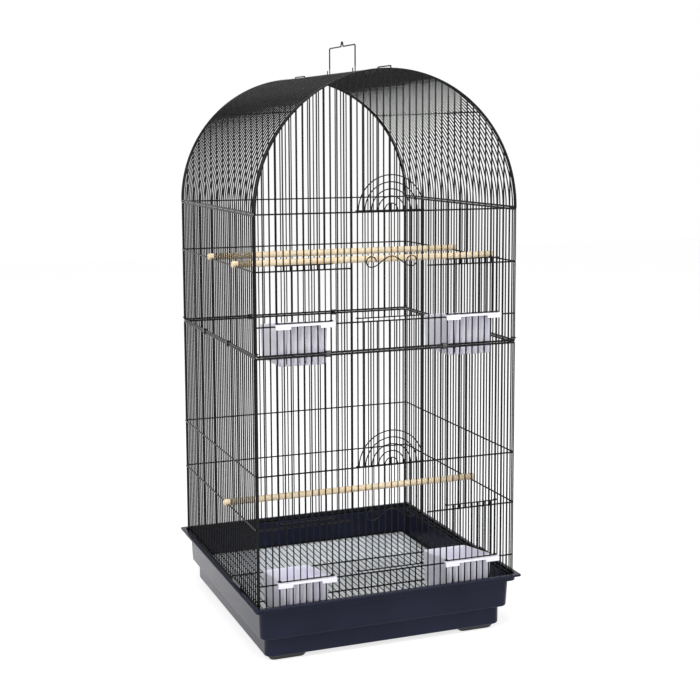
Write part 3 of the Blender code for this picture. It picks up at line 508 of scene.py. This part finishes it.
pan = {
    "cornerSteps": 10,
    "outerCorner": 0.011,
    "flangeCorner": 0.004,
    "innerCorner": 0.0085,
    # reach out from the corner posts, height, fillet
    "outside": [(-0.060, 0.0080, 0), (-0.0130, 0.0080, 0.0035), (-0.0128, 0.0375, 0.0012),
                (-0.0040, 0.0375, 0.0030), (-0.0020, 0.0800, 0.0008), (0.0060, 0.0800, 0.0010),
                (0.0060, 0.0870, 0.0006), (0.0110, 0.0870, 0.0008), (0.0110, 0.0900, 0.0011)],
    "inside": [(0.0042, 0.0900, 0.0009), (0.0042, 0.0850, 0.0007), (-0.0045, 0.0850, 0.0012),
               (-0.0063, 0.0400, 0.0010), (-0.0155, 0.0400, 0.0018), (-0.0155, 0.0105, 0.0035),
               (-0.060, 0.0105, 0)],
}


def mouldedRings(levels, corners, cornerSteps):
    points = [(reach, height, corner) for (reach, height, fillet), corner in zip(levels, corners)]
    radii = [fillet for reach, height, fillet in levels]
    rings = []
    for reach, height, corner in roundCorners(points, radii, 4):
        outline = roundedRectangle(halfWidth + reach, halfDepth + reach, corner, cornerSteps)
        rings.append([(x, y, height) for x, y in outline])
    return rings


panLevels = pan["outside"] + pan["inside"]
panCorners = [pan["outerCorner"]] * (len(pan["outside"]) - 2) + [pan["flangeCorner"]] * 2
panCorners += [pan["innerCorner"]] * len(pan["inside"])
panMesh = loftMesh("base_pan_moulding", mouldedRings(panLevels, panCorners, pan["cornerSteps"]))
addPiece("base_pan_moulding", panMesh, panPlastic, "base", ["base_pan"])

tray = {
    "cornerSteps": 8,
    "outerCorner": 0.0085,
    "innerCorner": 0.0070,
    "outside": [(-0.060, 0.0113, 0), (-0.0163, 0.0113, 0.0030), (-0.0163, 0.0403, 0.0008),
                (-0.0071, 0.0403, 0.0003), (-0.0071, 0.0418, 0.0006)],
    "inside": [(-0.0178, 0.0418, 0.0014), (-0.0178, 0.0128, 0.0035), (-0.060, 0.0128, 0)],
}
trayLevels = tray["outside"] + tray["inside"]
trayCorners = [tray["outerCorner"]] * len(tray["outside"]) + [tray["innerCorner"]] * len(tray["inside"])
trayMesh = loftMesh("waste_tray_moulding", mouldedRings(trayLevels, trayCorners, tray["cornerSteps"]))
addPiece("waste_tray_moulding", trayMesh, trayPlastic, "base", ["waste_tray"])

footPad = {
    "half": 0.030,
    "centre": (0.151, 0.156),
    "corner": 0.006,
    # height, inset from the widest outline
    "levels": ((0.0, 0.0047), (0.0004, 0.0041), (0.0011, 0.0036), (0.0066, 0.0004), (0.0077, 0.0)),
}


def footRings():
    rings = []
    for height, inset in footPad["levels"]:
        half = footPad["half"] - inset
        outline = roundedRectangle(half, half, footPad["corner"], 6)
        rings.append([(x, y, height) for x, y in outline])
    return rings


for depthName, sideY in (("front", -1), ("back", 1)):
    for widthName, sideX in (("left", -1), ("right", 1)):
        nodeName = "foot_" + depthName + "_" + widthName
        footMesh = loftMesh(nodeName + "_pad", footRings())
        centreX = sideX * footPad["centre"][0]
        centreY = sideY * footPad["centre"][1]
        footMesh.transform(Matrix.Translation((centreX, centreY, 0.0)))
        addPiece(nodeName + "_pad", footMesh, footRubber, "base", [nodeName])

grille = {"reach": -0.0096, "height": 0.0436, "crossAt": (-0.065, 0.065), "corner": 0.004, "frame": 0.0014}
grilleX = halfWidth + grille["reach"]
grilleY = halfDepth + grille["reach"]
grilleLevel = grille["height"]
grilleEdge = roundedRectangle(grilleX, grilleY, grille["corner"], 5)
grilleRuns = [([(x, y, grilleLevel) for x, y in grilleEdge], grille["frame"], True)]
for x in centredRows(grilleX, 0):
    ends = ((x, -grilleY, grilleLevel), (x, grilleY, grilleLevel))
    grilleRuns.append((ends, wire["grilleBar"], False))
crossLevel = grilleLevel + wire["railBehind"]
for y in grille["crossAt"]:
    ends = ((-grilleX, y, crossLevel), (grilleX, y, crossLevel))
    grilleRuns.append((ends, wire["rail"], False))
wirePiece("floor_grille_wires", grilleRuns, "base", ["floor_grille"])
print("pan, tray, grille and feet made")


# wire panels

frontGaps = {
    "doorGuide": 0.05,
    "feederCentre": 0.13,
    "feederGuide": 0.04,
    "railEnd": 0.059,
    "pastRail": 0.0006,
    "margin": 0.001,
}
tie = {"halfLong": 0.0043, "halfShort": 0.0021, "rise": 0.0036, "radius": 0.0008}


def straight(put, first, last, radius, outward=0.0):
    return ((put(first[0], outward, first[1]), put(last[0], outward, last[1])), radius, False)


def upright(put, u, low, high, radius, outward=0.0):
    return straight(put, (u, low), (u, high), radius, outward)


def crossWire(put, half, height, radius, outward=0.0):
    return straight(put, (-half, height), (half, height), radius, outward)


def frameRuns(put, low, high):
    # two thick cross wires and two thinner posts; high is None for the arched top
    spring = cage["spring"] if high is None else high
    runs = [crossWire(put, halfWidth, low, wire["frameWire"])]
    for side in (-1, 1):
        runs.append(upright(put, side * halfWidth, low, spring, wire["post"]))
    if high is None:
        arch = arcPoints((0.0, spring), halfWidth, 0, 180, cage["archSteps"])
        runs.append(([put(u, 0.0, z) for u, z in arch], wire["arch"], False))
    else:
        runs.append(crossWire(put, halfWidth, high, wire["frameWire"]))
    return runs


def archTop(u):
    return cage["spring"] + math.sqrt(halfWidth ** 2 - u ** 2)


def frontPanel(name, low, sill, middle, lintel, high):
    runs = frameRuns(atFront, low, high)
    past = frontGaps["pastRail"]
    for u in centredRows(halfWidth, 0):
        top = archTop(u) if high is None else high
        inDoor = abs(u) < frontGaps["doorGuide"] - frontGaps["margin"]
        fromFeeder = abs(abs(u) - frontGaps["feederCentre"])
        inFeeder = fromFeeder < frontGaps["feederGuide"] - frontGaps["margin"]
        if inDoor or inFeeder:
            opening = lintel if inDoor else middle
            runs.append(upright(atFront, u, low, sill + past, wire["bar"]))
            runs.append(upright(atFront, u, opening - past, top, wire["bar"]))
        else:
            runs.append(upright(atFront, u, low, top, wire["bar"]))
    behind = -wire["railBehind"]
    for height, radius in ((sill, wire["sill"]), (lintel, wire["rail"])):
        runs.append(crossWire(atFront, halfWidth, height, radius, behind))
    for side in (-1, 1):
        first = (side * frontGaps["railEnd"], middle)
        runs.append(straight(atFront, first, (side * halfWidth, middle), wire["rail"], behind))
    wirePiece(name + "_wires", runs, "wire_cage", [name])


def backPanel(name, low, rails, high):
    runs = frameRuns(atBack, low, high)
    for u in centredRows(halfWidth, 0):
        top = archTop(u) if high is None else high
        runs.append(upright(atBack, u, low, top, wire["bar"]))
    for height in rails:
        runs.append(crossWire(atBack, halfWidth, height, wire["rail"], -wire["railBehind"]))
    wirePiece(name + "_wires", runs, "wire_cage", [name])


def tieRing(put, across, low):
    # a small loop that ties an end post to the post of the front or back
    oval = roundedRectangle(tie["halfLong"], tie["halfShort"], tie["halfShort"], 5)
    return ([put(across + u, outward, low + tie["rise"]) for u, outward in oval], tie["radius"], True)


def sidePanel(name, put, low, rails, high, tied=False):
    post = cage["sidePost"]
    runs = []
    if tied:
        between = (post + halfDepth) / 2
        runs += [tieRing(put, -between, low), tieRing(put, between, low)]
    for height in (low, high):
        runs.append(crossWire(put, post, height, wire["frameWire"]))
    for end in (-post, post):
        runs.append(upright(put, end, low, high, wire["post"]))
    for u in centredRows(post, 0.5):
        runs.append(upright(put, u, low, high, wire["bar"]))
    for height in rails:
        runs.append(crossWire(put, post, height, wire["rail"], wire["railBehind"]))
    wirePiece(name + "_wires", runs, "wire_cage", [name])


lowRails = (cage["middleLow"], cage["topLow"])
highRails = (cage["middleHigh"], cage["spring"])
sideRails = (cage["middleHigh"],)
frontPanel("lower_front_panel", cage["foot"], cage["feederLow"], *lowRails, cage["jointLow"])
frontPanel("upper_front_panel", cage["jointHigh"], cage["feederHigh"], *highRails, None)
backPanel("lower_back_panel", cage["foot"], lowRails, cage["jointLow"])
backPanel("upper_back_panel", cage["jointHigh"], highRails, None)
for widthName, put in (("left", atLeft), ("right", atRight)):
    lowerName = "lower_" + widthName + "_panel"
    upperName = "upper_" + widthName + "_panel"
    sidePanel(lowerName, put, cage["foot"], lowRails, cage["jointLow"])
    sidePanel(upperName, put, cage["jointHigh"], sideRails, cage["sideTop"], tied=True)

roof = {"railAngle": 45, "railRadius": 0.1978, "arcSteps": 60}
roofEnd = cage["sidePost"]
rise = math.degrees(math.asin((cage["roofFoot"] - cage["spring"]) / halfWidth))


def roofArc(y, radius, steps):
    arc = arcPoints((0.0, cage["spring"]), halfWidth, rise, 180 - rise, steps)
    return ([(x, y, z) for x, z in arc], radius, False)


def roofRail(x, z, radius):
    return (((x, -roofEnd, z), (x, roofEnd, z)), radius, False)


roofRuns = [roofArc(y, wire["roofBar"], roof["arcSteps"]) for y in centredRows(roofEnd, 0.5)]
roofRuns += [roofArc(y, wire["post"], cage["archSteps"]) for y in (-roofEnd, roofEnd)]
roofRuns += [roofRail(x, cage["roofFoot"], wire["frameWire"]) for x in (-halfWidth, halfWidth)]
for angle in (90 - roof["railAngle"], 90 + roof["railAngle"]):
    x = roof["railRadius"] * math.cos(math.radians(angle))
    z = cage["spring"] + roof["railRadius"] * math.sin(math.radians(angle))
    roofRuns.append(roofRail(x, z, wire["rail"]))
wirePiece("roof_panel_wires", roofRuns, "wire_cage", ["roof_panel"], sides=2)
print("wire panels and roof made")


# doors

door = {
    "plane": 0.0027,  # cross wires, in front of the cage bars
    "leg": 0.00085,
    "legPlane": 0.0040,
    "wavePlane": 0.0052,
    "cross": 0.0009,
    "eyeRadius": 0.0025,
    "eyeWire": 0.0007,
    "sillGap": 0.006,
    "topRise": 0.0021,
    "waveDrop": 0.080,
    "waveHump": 0.015,
    "waveReach": 0.031,
    "curl": 0.0075,
    "arches": 5,
    "past": 0.0006,  # a leg runs this far past its cross wire
    "feederSill": 0.0047,
    "feederTop": 0.008,
    "feederBars": 3,
}


def eyeRun(across, height):
    ring = arcPoints((across, -halfDepth), door["eyeRadius"], 0, 360, 20)[:-1]
    return ([(x, y, height) for x, y in ring], door["eyeWire"], True)


def wavePath(low):
    points = []
    steps = 12
    for step in range(steps):
        share = step / steps
        hump = door["waveHump"] * (1 + math.cos(math.pi * share)) / 2
        points.append((door["waveReach"] * share, low + hump))
    points += arcPoints((door["waveReach"], low + door["curl"]), door["curl"], -90, 185, 22)
    return [(-u, z) for u, z in reversed(points[1:])] + points


def ridingWires(across, guide, heights):
    # cross wires with an eye round a guide bar at each end
    runs = []
    for height in heights:
        ends = ((across - guide, height), (across + guide, height))
        runs.append(straight(atFront, *ends, door["cross"], door["plane"]))
        runs += [eyeRun(across - guide, height), eyeRun(across + guide, height)]
    return runs


def mainDoor(name, sill, lintel):
    top = lintel + door["topRise"]
    bottom = sill + door["sillGap"]
    foot = bottom - door["past"]
    legPlane = door["legPlane"]
    runs = ridingWires(0.0, frontGaps["doorGuide"], (bottom, top))
    for row in range(1, door["arches"] + 1):
        reach = row * pitch
        arch = arcPoints((0.0, top), reach, 0, 180, 36)
        if row < door["arches"]:
            arch = [(reach, foot)] + arch + [(-reach, foot)]
        runs.append(([atFront(u, legPlane, z) for u, z in arch], door["leg"], False))
    runs.append(upright(atFront, 0.0, foot, top + pitch, door["leg"], legPlane))
    wave = [atFront(u, door["wavePlane"], z) for u, z in wavePath(top - door["waveDrop"])]
    runs.append((wave, door["leg"], False))
    wirePiece(name + "_wires", runs, name, [name])


def feederDoor(name, centre, sill, lintel):
    bottom = sill + door["feederSill"]
    top = lintel + door["feederTop"]
    runs = ridingWires(centre, frontGaps["feederGuide"], (bottom, top))
    for bar in range(-door["feederBars"], door["feederBars"] + 1):
        u = centre + bar * pitch
        low = bottom - door["past"]
        runs.append(upright(atFront, u, low, top + door["past"], door["leg"], door["legPlane"]))
    wirePiece(name + "_wires", runs, name, [name])


levels = (
    ("lower", cage["feederLow"], cage["middleLow"], cage["topLow"]),
    ("upper", cage["feederHigh"], cage["middleHigh"], cage["spring"]),
)
for levelName, sill, middle, lintel in levels:
    mainDoor(levelName + "_door", sill, lintel)
    for widthName, side in (("left", -1), ("right", 1)):
        centre = side * frontGaps["feederCentre"]
        feederDoor(levelName + "_" + widthName + "_feeder_door", centre, sill, middle)
print("doors made")


# feeder cups

cup = {
    "halfWidth": 0.037,
    "front": -0.1991,
    "back": -0.1112,
    "height": 0.062,
    "draft": 0.002,
    "wall": 0.0018,
    "corner": 0.006,
    "flutes": 7,
    "fluteSteps": 8,
    "fluteDepth": 0.0025,
    "fluteFullness": 0.45,  # below 1 the flutes get flat and the grooves narrow
    "backDrop": 0.0115,
    "ledgeTop": 0.0035,
    "ledgeThick": 0.002,
    "ledgeHalf": 0.044,
    "lipFront": -0.2131,
    "lipThick": 0.002,
    "lipDrop": 0.003,
    "earDrop": 0.007,
    "earWidth": 0.022,
    "ledgeGap": 0.0014,
    "dropStart": 0.0105,
    "dropRun": 0.003,
    "underRim": 0.002,
    # height or depth, inset
    "footSteps": ((0.0, 0.0035), (0.0004, 0.0018), (0.0012, 0.0007), (0.0026, 0.0)),
    "rimSteps": ((0.0007, 0.0), (0.0002, 0.0002), (0.0, 0.0006)),
    "floorSteps": ((0.0050, 0.0), (0.0022, 0.0008), (0.0007, 0.0022), (0.0, 0.0045)),
}


def cupOutline(inset, fluted):
    half = cup["halfWidth"] - inset
    front = cup["front"] + inset
    back = cup["back"] - inset
    corner = max(cup["corner"] - inset, 0.001)
    small = corner / 2
    inner = half - small
    outline = arcPoints((half - corner, back - corner), corner, 0, 90, 6)
    outline += arcPoints((corner - half, back - corner), corner, 90, 180, 6)
    outline += arcPoints((-inner, front + small), small, 180, 270, 4)
    steps = cup["flutes"] * cup["fluteSteps"]
    for step in range(1, steps):
        share = step / steps
        wave = 1.0
        if fluted:
            wave = abs(math.sin(math.pi * share * cup["flutes"])) ** cup["fluteFullness"]
        outline.append((-inner + 2 * inner * share, front + cup["fluteDepth"] * (1 - wave)))
    outline += arcPoints((inner, front + small), small, 270, 360, 4)
    return outline


def rimHeight(y, top):
    start = cup["back"] - cup["dropStart"]
    share = min(1.0, max(0.0, (y - start) / cup["dropRun"]))
    return top - cup["backDrop"] * share * share * (3 - 2 * share)


def cupRings(top):
    bottom = top - cup["height"]
    wall = cup["wall"]
    belowRim = cup["height"] - cup["backDrop"] - cup["underRim"]

    def levelRing(height, inset, fluted):
        # the walls lean in towards the bottom
        lean = cup["draft"] * (1 - height / cup["height"])
        return [(x, y, bottom + height) for x, y in cupOutline(lean + inset, fluted)]

    def rimRing(depth, inset, fluted):
        return [(x, y, rimHeight(y, top) - depth) for x, y in cupOutline(inset, fluted)]

    rings = [levelRing(height, inset, True) for height, inset in cup["footSteps"]]
    rings.append(levelRing(belowRim, 0.0, True))
    rings += [rimRing(depth, inset, True) for depth, inset in cup["rimSteps"]]
    rings += [rimRing(depth, wall - inset, False) for depth, inset in reversed(cup["rimSteps"])]
    rings.append(levelRing(belowRim, wall, False))
    rings += [levelRing(wall + height, wall + inset, False) for height, inset in cup["floorSteps"]]
    return rings


def ledgeMesh(name, top):
    # the ledge hooks over the feeder rail: a plate, a lip down its front and two ears
    half = cup["ledgeHalf"]
    lip = cup["lipFront"]
    lipBack = lip + cup["lipThick"]
    ledgeBack = -halfDepth - cup["ledgeGap"]
    low = top - cup["ledgeThick"]
    overlap = 0.001
    intoCup = 0.0015
    bridge = cup["halfWidth"] - overlap
    step = 0.0001  # keeps the faces of two boxes out of one plane
    bm = bmesh.new()
    addBox(bm, (-half, lip, low), (half, ledgeBack, top))
    addBox(bm, (-bridge, ledgeBack - overlap, low), (bridge, cup["front"] + intoCup, top))
    addBox(bm, (-half, lip, top - cup["lipDrop"]), (half, lipBack, top - step))
    for side in (-1, 1):
        ends = sorted((side * half, side * (half - cup["earWidth"])))
        earLow = top - cup["earDrop"]
        addBox(bm, (ends[0], lip + step, earLow), (ends[1], lipBack - step, top - 2 * step))
    mesh = bpy.data.meshes.new(name)
    bm.to_mesh(mesh)
    bm.free()
    return mesh


for levelName, sill, middle, lintel in levels:
    top = sill + cup["ledgeTop"]
    bowl = loftMesh("cupBowl", cupRings(top))
    ledge = ledgeMesh("cupLedge", top)
    joined = booleanMesh(levelName + "_cup", bowl, ledge, "UNION", bevel=0.00035)
    for widthName, side in (("left", -1), ("right", 1)):
        nodeName = levelName + "_" + widthName + "_feeder"
        cupMesh = joined.copy()
        cupMesh.transform(Matrix.Translation((side * frontGaps["feederCentre"], 0.0, 0.0)))
        addPiece(nodeName + "_cup", cupMesh, cupPlastic, nodeName, [nodeName])
print("feeder cups made")


# perches

perch = {
    "radius": 0.005,
    "half": 0.208,
    "rise": 0.0035,
    "chamfer": 0.0008,
    "slit": 0.0014,
    "notchNear": 0.00055,  # the notch under each end takes the side rail
    "notchFar": 0.00335,
    "notchTop": 0.0014,
    "rows": (
        ("upper_front_perch", -0.115, cage["middleHigh"]),
        ("upper_rear_perch", 0.015, cage["middleHigh"]),
        ("lower_perch", -0.055, cage["middleLow"]),
    ),
}


def dowelMesh(name, y, railHeight):
    centre = railHeight + perch["rise"]
    half = perch["half"]
    radius = perch["radius"]
    rings = []
    places = [(-half, radius - perch["chamfer"]), (-half + perch["chamfer"], radius)]
    spans = 16
    inset = 0.98  # keeps these rings off the chamfers
    places += [(half * (2 * step / spans - 1) * inset, radius) for step in range(1, spans)]
    places += [(half - perch["chamfer"], radius), (half, radius - perch["chamfer"])]
    for x, size in places:
        rings.append([(x, y + u, centre + v) for u, v in arcPoints((0, 0), size, 0, 360, 32)[:-1]])
    clear = 0.02
    slit = perch["slit"]
    bm = bmesh.new()
    for side in (-1, 1):
        ends = sorted((side * (halfWidth - slit), side * (half + clear)))
        addBox(bm, (ends[0], y - slit, centre - clear), (ends[1], y + slit, centre + clear))
        ends = sorted((side * (halfWidth + perch["notchNear"]), side * (halfWidth + perch["notchFar"])))
        notchTop = railHeight + perch["notchTop"]
        addBox(bm, (ends[0], y - clear, centre - clear), (ends[1], y + clear, notchTop))
    cutter = bpy.data.meshes.new(name + "Cutter")
    bm.to_mesh(cutter)
    bm.free()
    return booleanMesh(name, loftMesh(name, rings), cutter, "DIFFERENCE")


for (nodeName, y, railHeight), wood in zip(perch["rows"], perchWoods):
    dowel = dowelMesh(nodeName, y, railHeight)
    addPiece(nodeName + "_dowel", dowel, wood, "wire_cage", [nodeName])
print("perches made")


# handle and clips

handle = {
    "near": -0.070,
    "far": 0.040,
    "hinge": 0.84195,
    "top": 0.886,
    "peakRise": 0.0068,
    "peakFoot": 0.0048,
    "peakTop": 0.0016,
    "lug": 0.852,
    "thickFrom": 0.854,  # the bail is thicker above the hooks
    "overlap": 0.001,
    "hookWire": 0.00083,
    "bailWire": 0.00105,
}


def handleRuns():
    near = handle["near"]
    far = handle["far"]
    middle = (near + far) / 2
    low = handle["hinge"]
    top = handle["top"]
    step = handle["thickFrom"]
    peak = top + handle["peakRise"]
    bail = [
        (near, step), (near, top),
        (middle - handle["peakFoot"], top), (middle - handle["peakTop"], peak),
        (middle + handle["peakTop"], peak), (middle + handle["peakFoot"], top),
        (far, top), (far, step),
    ]
    bail = roundCorners(bail, [0, 0.003, 0.0012, 0.0012, 0.0012, 0.0012, 0.003, 0], 7)
    runs = [([(0.0, y, z) for y, z in bail], handle["bailWire"], False)]
    for leg in (near, far):
        past = leg + pitch
        hook = [(past, handle["lug"]), (past, low), (leg, low), (leg, step + handle["overlap"])]
        hook = roundCorners(hook, [0, 0.0046, 0.0046, 0], 7)
        runs.append(([(0.0, y, z) for y, z in hook], handle["hookWire"], False))
    return runs


wirePiece("carry_handle_wire", handleRuns(), "carry_handle", ["carry_handle"])

ridge = {"inner": 0.160, "outer": 0.2078, "foot": 0.839, "over": 0.8481, "bend": 0.0022, "radius": 0.0010}
for endName, end in (("front", -1), ("back", 1)):
    path = [(ridge["inner"], ridge["foot"]), (ridge["inner"], ridge["over"]),
            (ridge["outer"], ridge["over"]), (ridge["outer"], ridge["foot"])]
    path = roundCorners(path, ridge["bend"], 6)
    run = ([(0.0, end * y, z) for y, z in path], ridge["radius"], False)
    nodeName = "ridge_clip_" + endName
    wirePiece(nodeName + "_wire", [run], "wire_cage", [nodeName])

clip = {
    "width": 0.006,
    "sheet": 0.0010,
    "out": 0.0023,
    "reach": 0.00395,
    "lip": 0.0020,
    "bend": 0.0009,
    "height": 0.446,
}


def bentStrip(name, path, sheet, width, put):
    # a strip of sheet bent along a path, its width across the plane of the path
    left = []
    right = []
    for place, point in enumerate(path):
        before = Vector(path[max(place - 1, 0)])
        after = Vector(path[min(place + 1, len(path) - 1)])
        ahead = (after - before).normalized()
        side = Vector((-ahead[1], ahead[0])) * sheet / 2
        left.append(Vector(point) + side)
        right.append(Vector(point) - side)
    rings = []
    for one, other in zip(left, right):
        rings.append([
            put(one[0], one[1], -width / 2), put(one[0], one[1], width / 2),
            put(other[0], other[1], width / 2), put(other[0], other[1], -width / 2),
        ])
    return loftMesh(name, rings, sharpAngle=30)


def jointClip(nodeName, at, put):
    out = clip["out"]
    reach = clip["reach"]
    lip = reach - clip["lip"]
    path = [(-out, lip), (-out, reach), (out, reach), (out, -reach), (-out, -reach), (-out, -lip)]
    path = roundCorners(path, clip["bend"], 4)

    def placed(outward, height, across):
        return put(at + across, outward, clip["height"] + height)

    mesh = bentStrip(nodeName, path, clip["sheet"], clip["width"], placed)
    addPiece(nodeName + "_strip", mesh, springSteel, "wire_cage", [nodeName])


for sideName, put, places in (
    ("front", atFront, (-0.095, 0.085)), ("back", atBack, (-0.085, 0.065)),
    ("left", atLeft, (-0.060, 0.070)), ("right", atRight, (-0.060, 0.070)),
):
    for number, at in enumerate(places, start=1):
        jointClip("joint_clip_" + sideName + "_" + str(number), at, put)

rimClip = {
    "at": -0.107,
    "length": 0.040,
    "sheet": 0.0009,
    "bend": 0.0010,
    # outward from the side wall, height
    "path": [(0.0029, 0.0854), (0.0029, 0.0965), (0.0056, 0.0961), (0.0056, 0.0915)],
}
for sideName, put in (("left", atLeft), ("right", atRight)):
    nodeName = "rim_clip_" + sideName
    path = roundCorners(rimClip["path"], rimClip["bend"], 4)

    def placed(outward, height, across, put=put):
        return put(rimClip["at"] + across, outward, height)

    mesh = bentStrip(nodeName, path, rimClip["sheet"], rimClip["length"], placed)
    addPiece(nodeName + "_tab", mesh, springSteel, "base", [nodeName])
print("handle and clips made")


# floor, light and camera

stageLook = {
    "floorGlow": 0.72,
    "floorColour": (0.55, 0.55, 0.56, 1.0),
    "skyLight": 0.38,
    "floorHalf": 6,
    "aim": (0, 0, 0.4),
}
floorMesh = bpy.data.meshes.new("studioFloor")
half = stageLook["floorHalf"]
corners = [(-half, -half, 0), (half, -half, 0), (half, half, 0), (-half, half, 0)]
floorMesh.from_pydata(corners, [], [(0, 1, 2, 3)])
floor = bpy.data.objects.new("studioFloor", floorMesh)
bpy.context.scene.collection.objects.link(floor)
floorMaterial, tree, shader = startMaterial("studioFloorPaint")
shader.inputs["Base Color"].default_value = stageLook["floorColour"]
shader.inputs["Roughness"].default_value = 0.7
shader.inputs["Specular IOR Level"].default_value = 0.1


def seenShare(tree):
    # 1 on camera, mirror and see-through rays, 0 on the rays that light the object
    rays = addNode(tree, "ShaderNodeLightPath")
    seen = mathNode(tree, "ADD", rays.outputs["Is Camera Ray"], rays.outputs["Is Glossy Ray"])
    return mathNode(tree, "ADD", seen, rays.outputs["Is Transmission Ray"], clamp=True)


seen = mathNode(tree, "MULTIPLY", seenShare(tree), stageLook["floorGlow"])
glow = addNode(tree, "ShaderNodeEmission", {"Color": (1.0, 1.0, 1.0, 1.0), "Strength": seen})
both = addNode(tree, "ShaderNodeAddShader", {0: shader.outputs[0], 1: glow.outputs[0]})
tree.links.new(both.outputs[0], tree.nodes["Material Output"].inputs["Surface"])
floorMesh.materials.append(floorMaterial)

world = bpy.data.worlds.new("studioWorld")
bpy.context.scene.world = world
world.use_nodes = True
tree = world.node_tree
background = tree.nodes["Background"]
background.inputs["Color"].default_value = (1.0, 1.0, 1.0, 1.0)
strength = spread(tree, seenShare(tree), 0.0, 1.0, stageLook["skyLight"], 1.0)
tree.links.new(strength, background.inputs["Strength"])

lamps = (
    ("keyLamp", (-2.3, -0.9, 1.3), 1.2, 30.0),
    ("topLamp", (-0.4, -1.3, 2.6), 1.0, 40.0),
    ("frontLamp", (0.9, -2.5, 0.9), 1.2, 26.0),
)
for name, place, size, power in lamps:
    light = bpy.data.lights.new(name, "AREA")
    light.shape = "SQUARE"
    light.size = size
    light.energy = power
    lamp = bpy.data.objects.new(name, light)
    lamp.location = place
    aim = Vector(stageLook["aim"]) - Vector(place)
    lamp.rotation_euler = aim.to_track_quat("-Z", "Y").to_euler()
    bpy.context.scene.collection.objects.link(lamp)

view = {
    "place": (-0.7286, -1.9426, 0.7544),
    "sensor": 36.0,
    "frame": 700,
    "focal": 1329.6,  # in pixels of the frame
    "yaw": 21.003,
    "pitch": 6.600,
    "roll": 0.243,
    "rise": -0.09,  # the photograph is framed a little above the lens's middle
}
yaw = math.radians(view["yaw"])
tilt = math.radians(view["pitch"])
forward = Vector((math.sin(yaw) * math.cos(tilt), math.cos(yaw) * math.cos(tilt), -math.sin(tilt)))
camera = bpy.data.objects.new("photoCamera", bpy.data.cameras.new("photoCamera"))
camera.data.sensor_width = view["sensor"]
camera.data.lens = view["focal"] * view["sensor"] / view["frame"]
camera.data.shift_y = view["rise"]
camera.data.clip_end = 50.0
camera.location = view["place"]
turned = forward.to_track_quat("-Z", "Y").to_matrix().to_4x4()
camera.rotation_euler = (turned @ Matrix.Rotation(math.radians(-view["roll"]), 4, "Z")).to_euler()
bpy.context.scene.collection.objects.link(camera)
bpy.context.scene.camera = camera
bpy.context.scene.view_settings.view_transform = "Standard"
print("stage made")

bpy.context.view_layer.update()
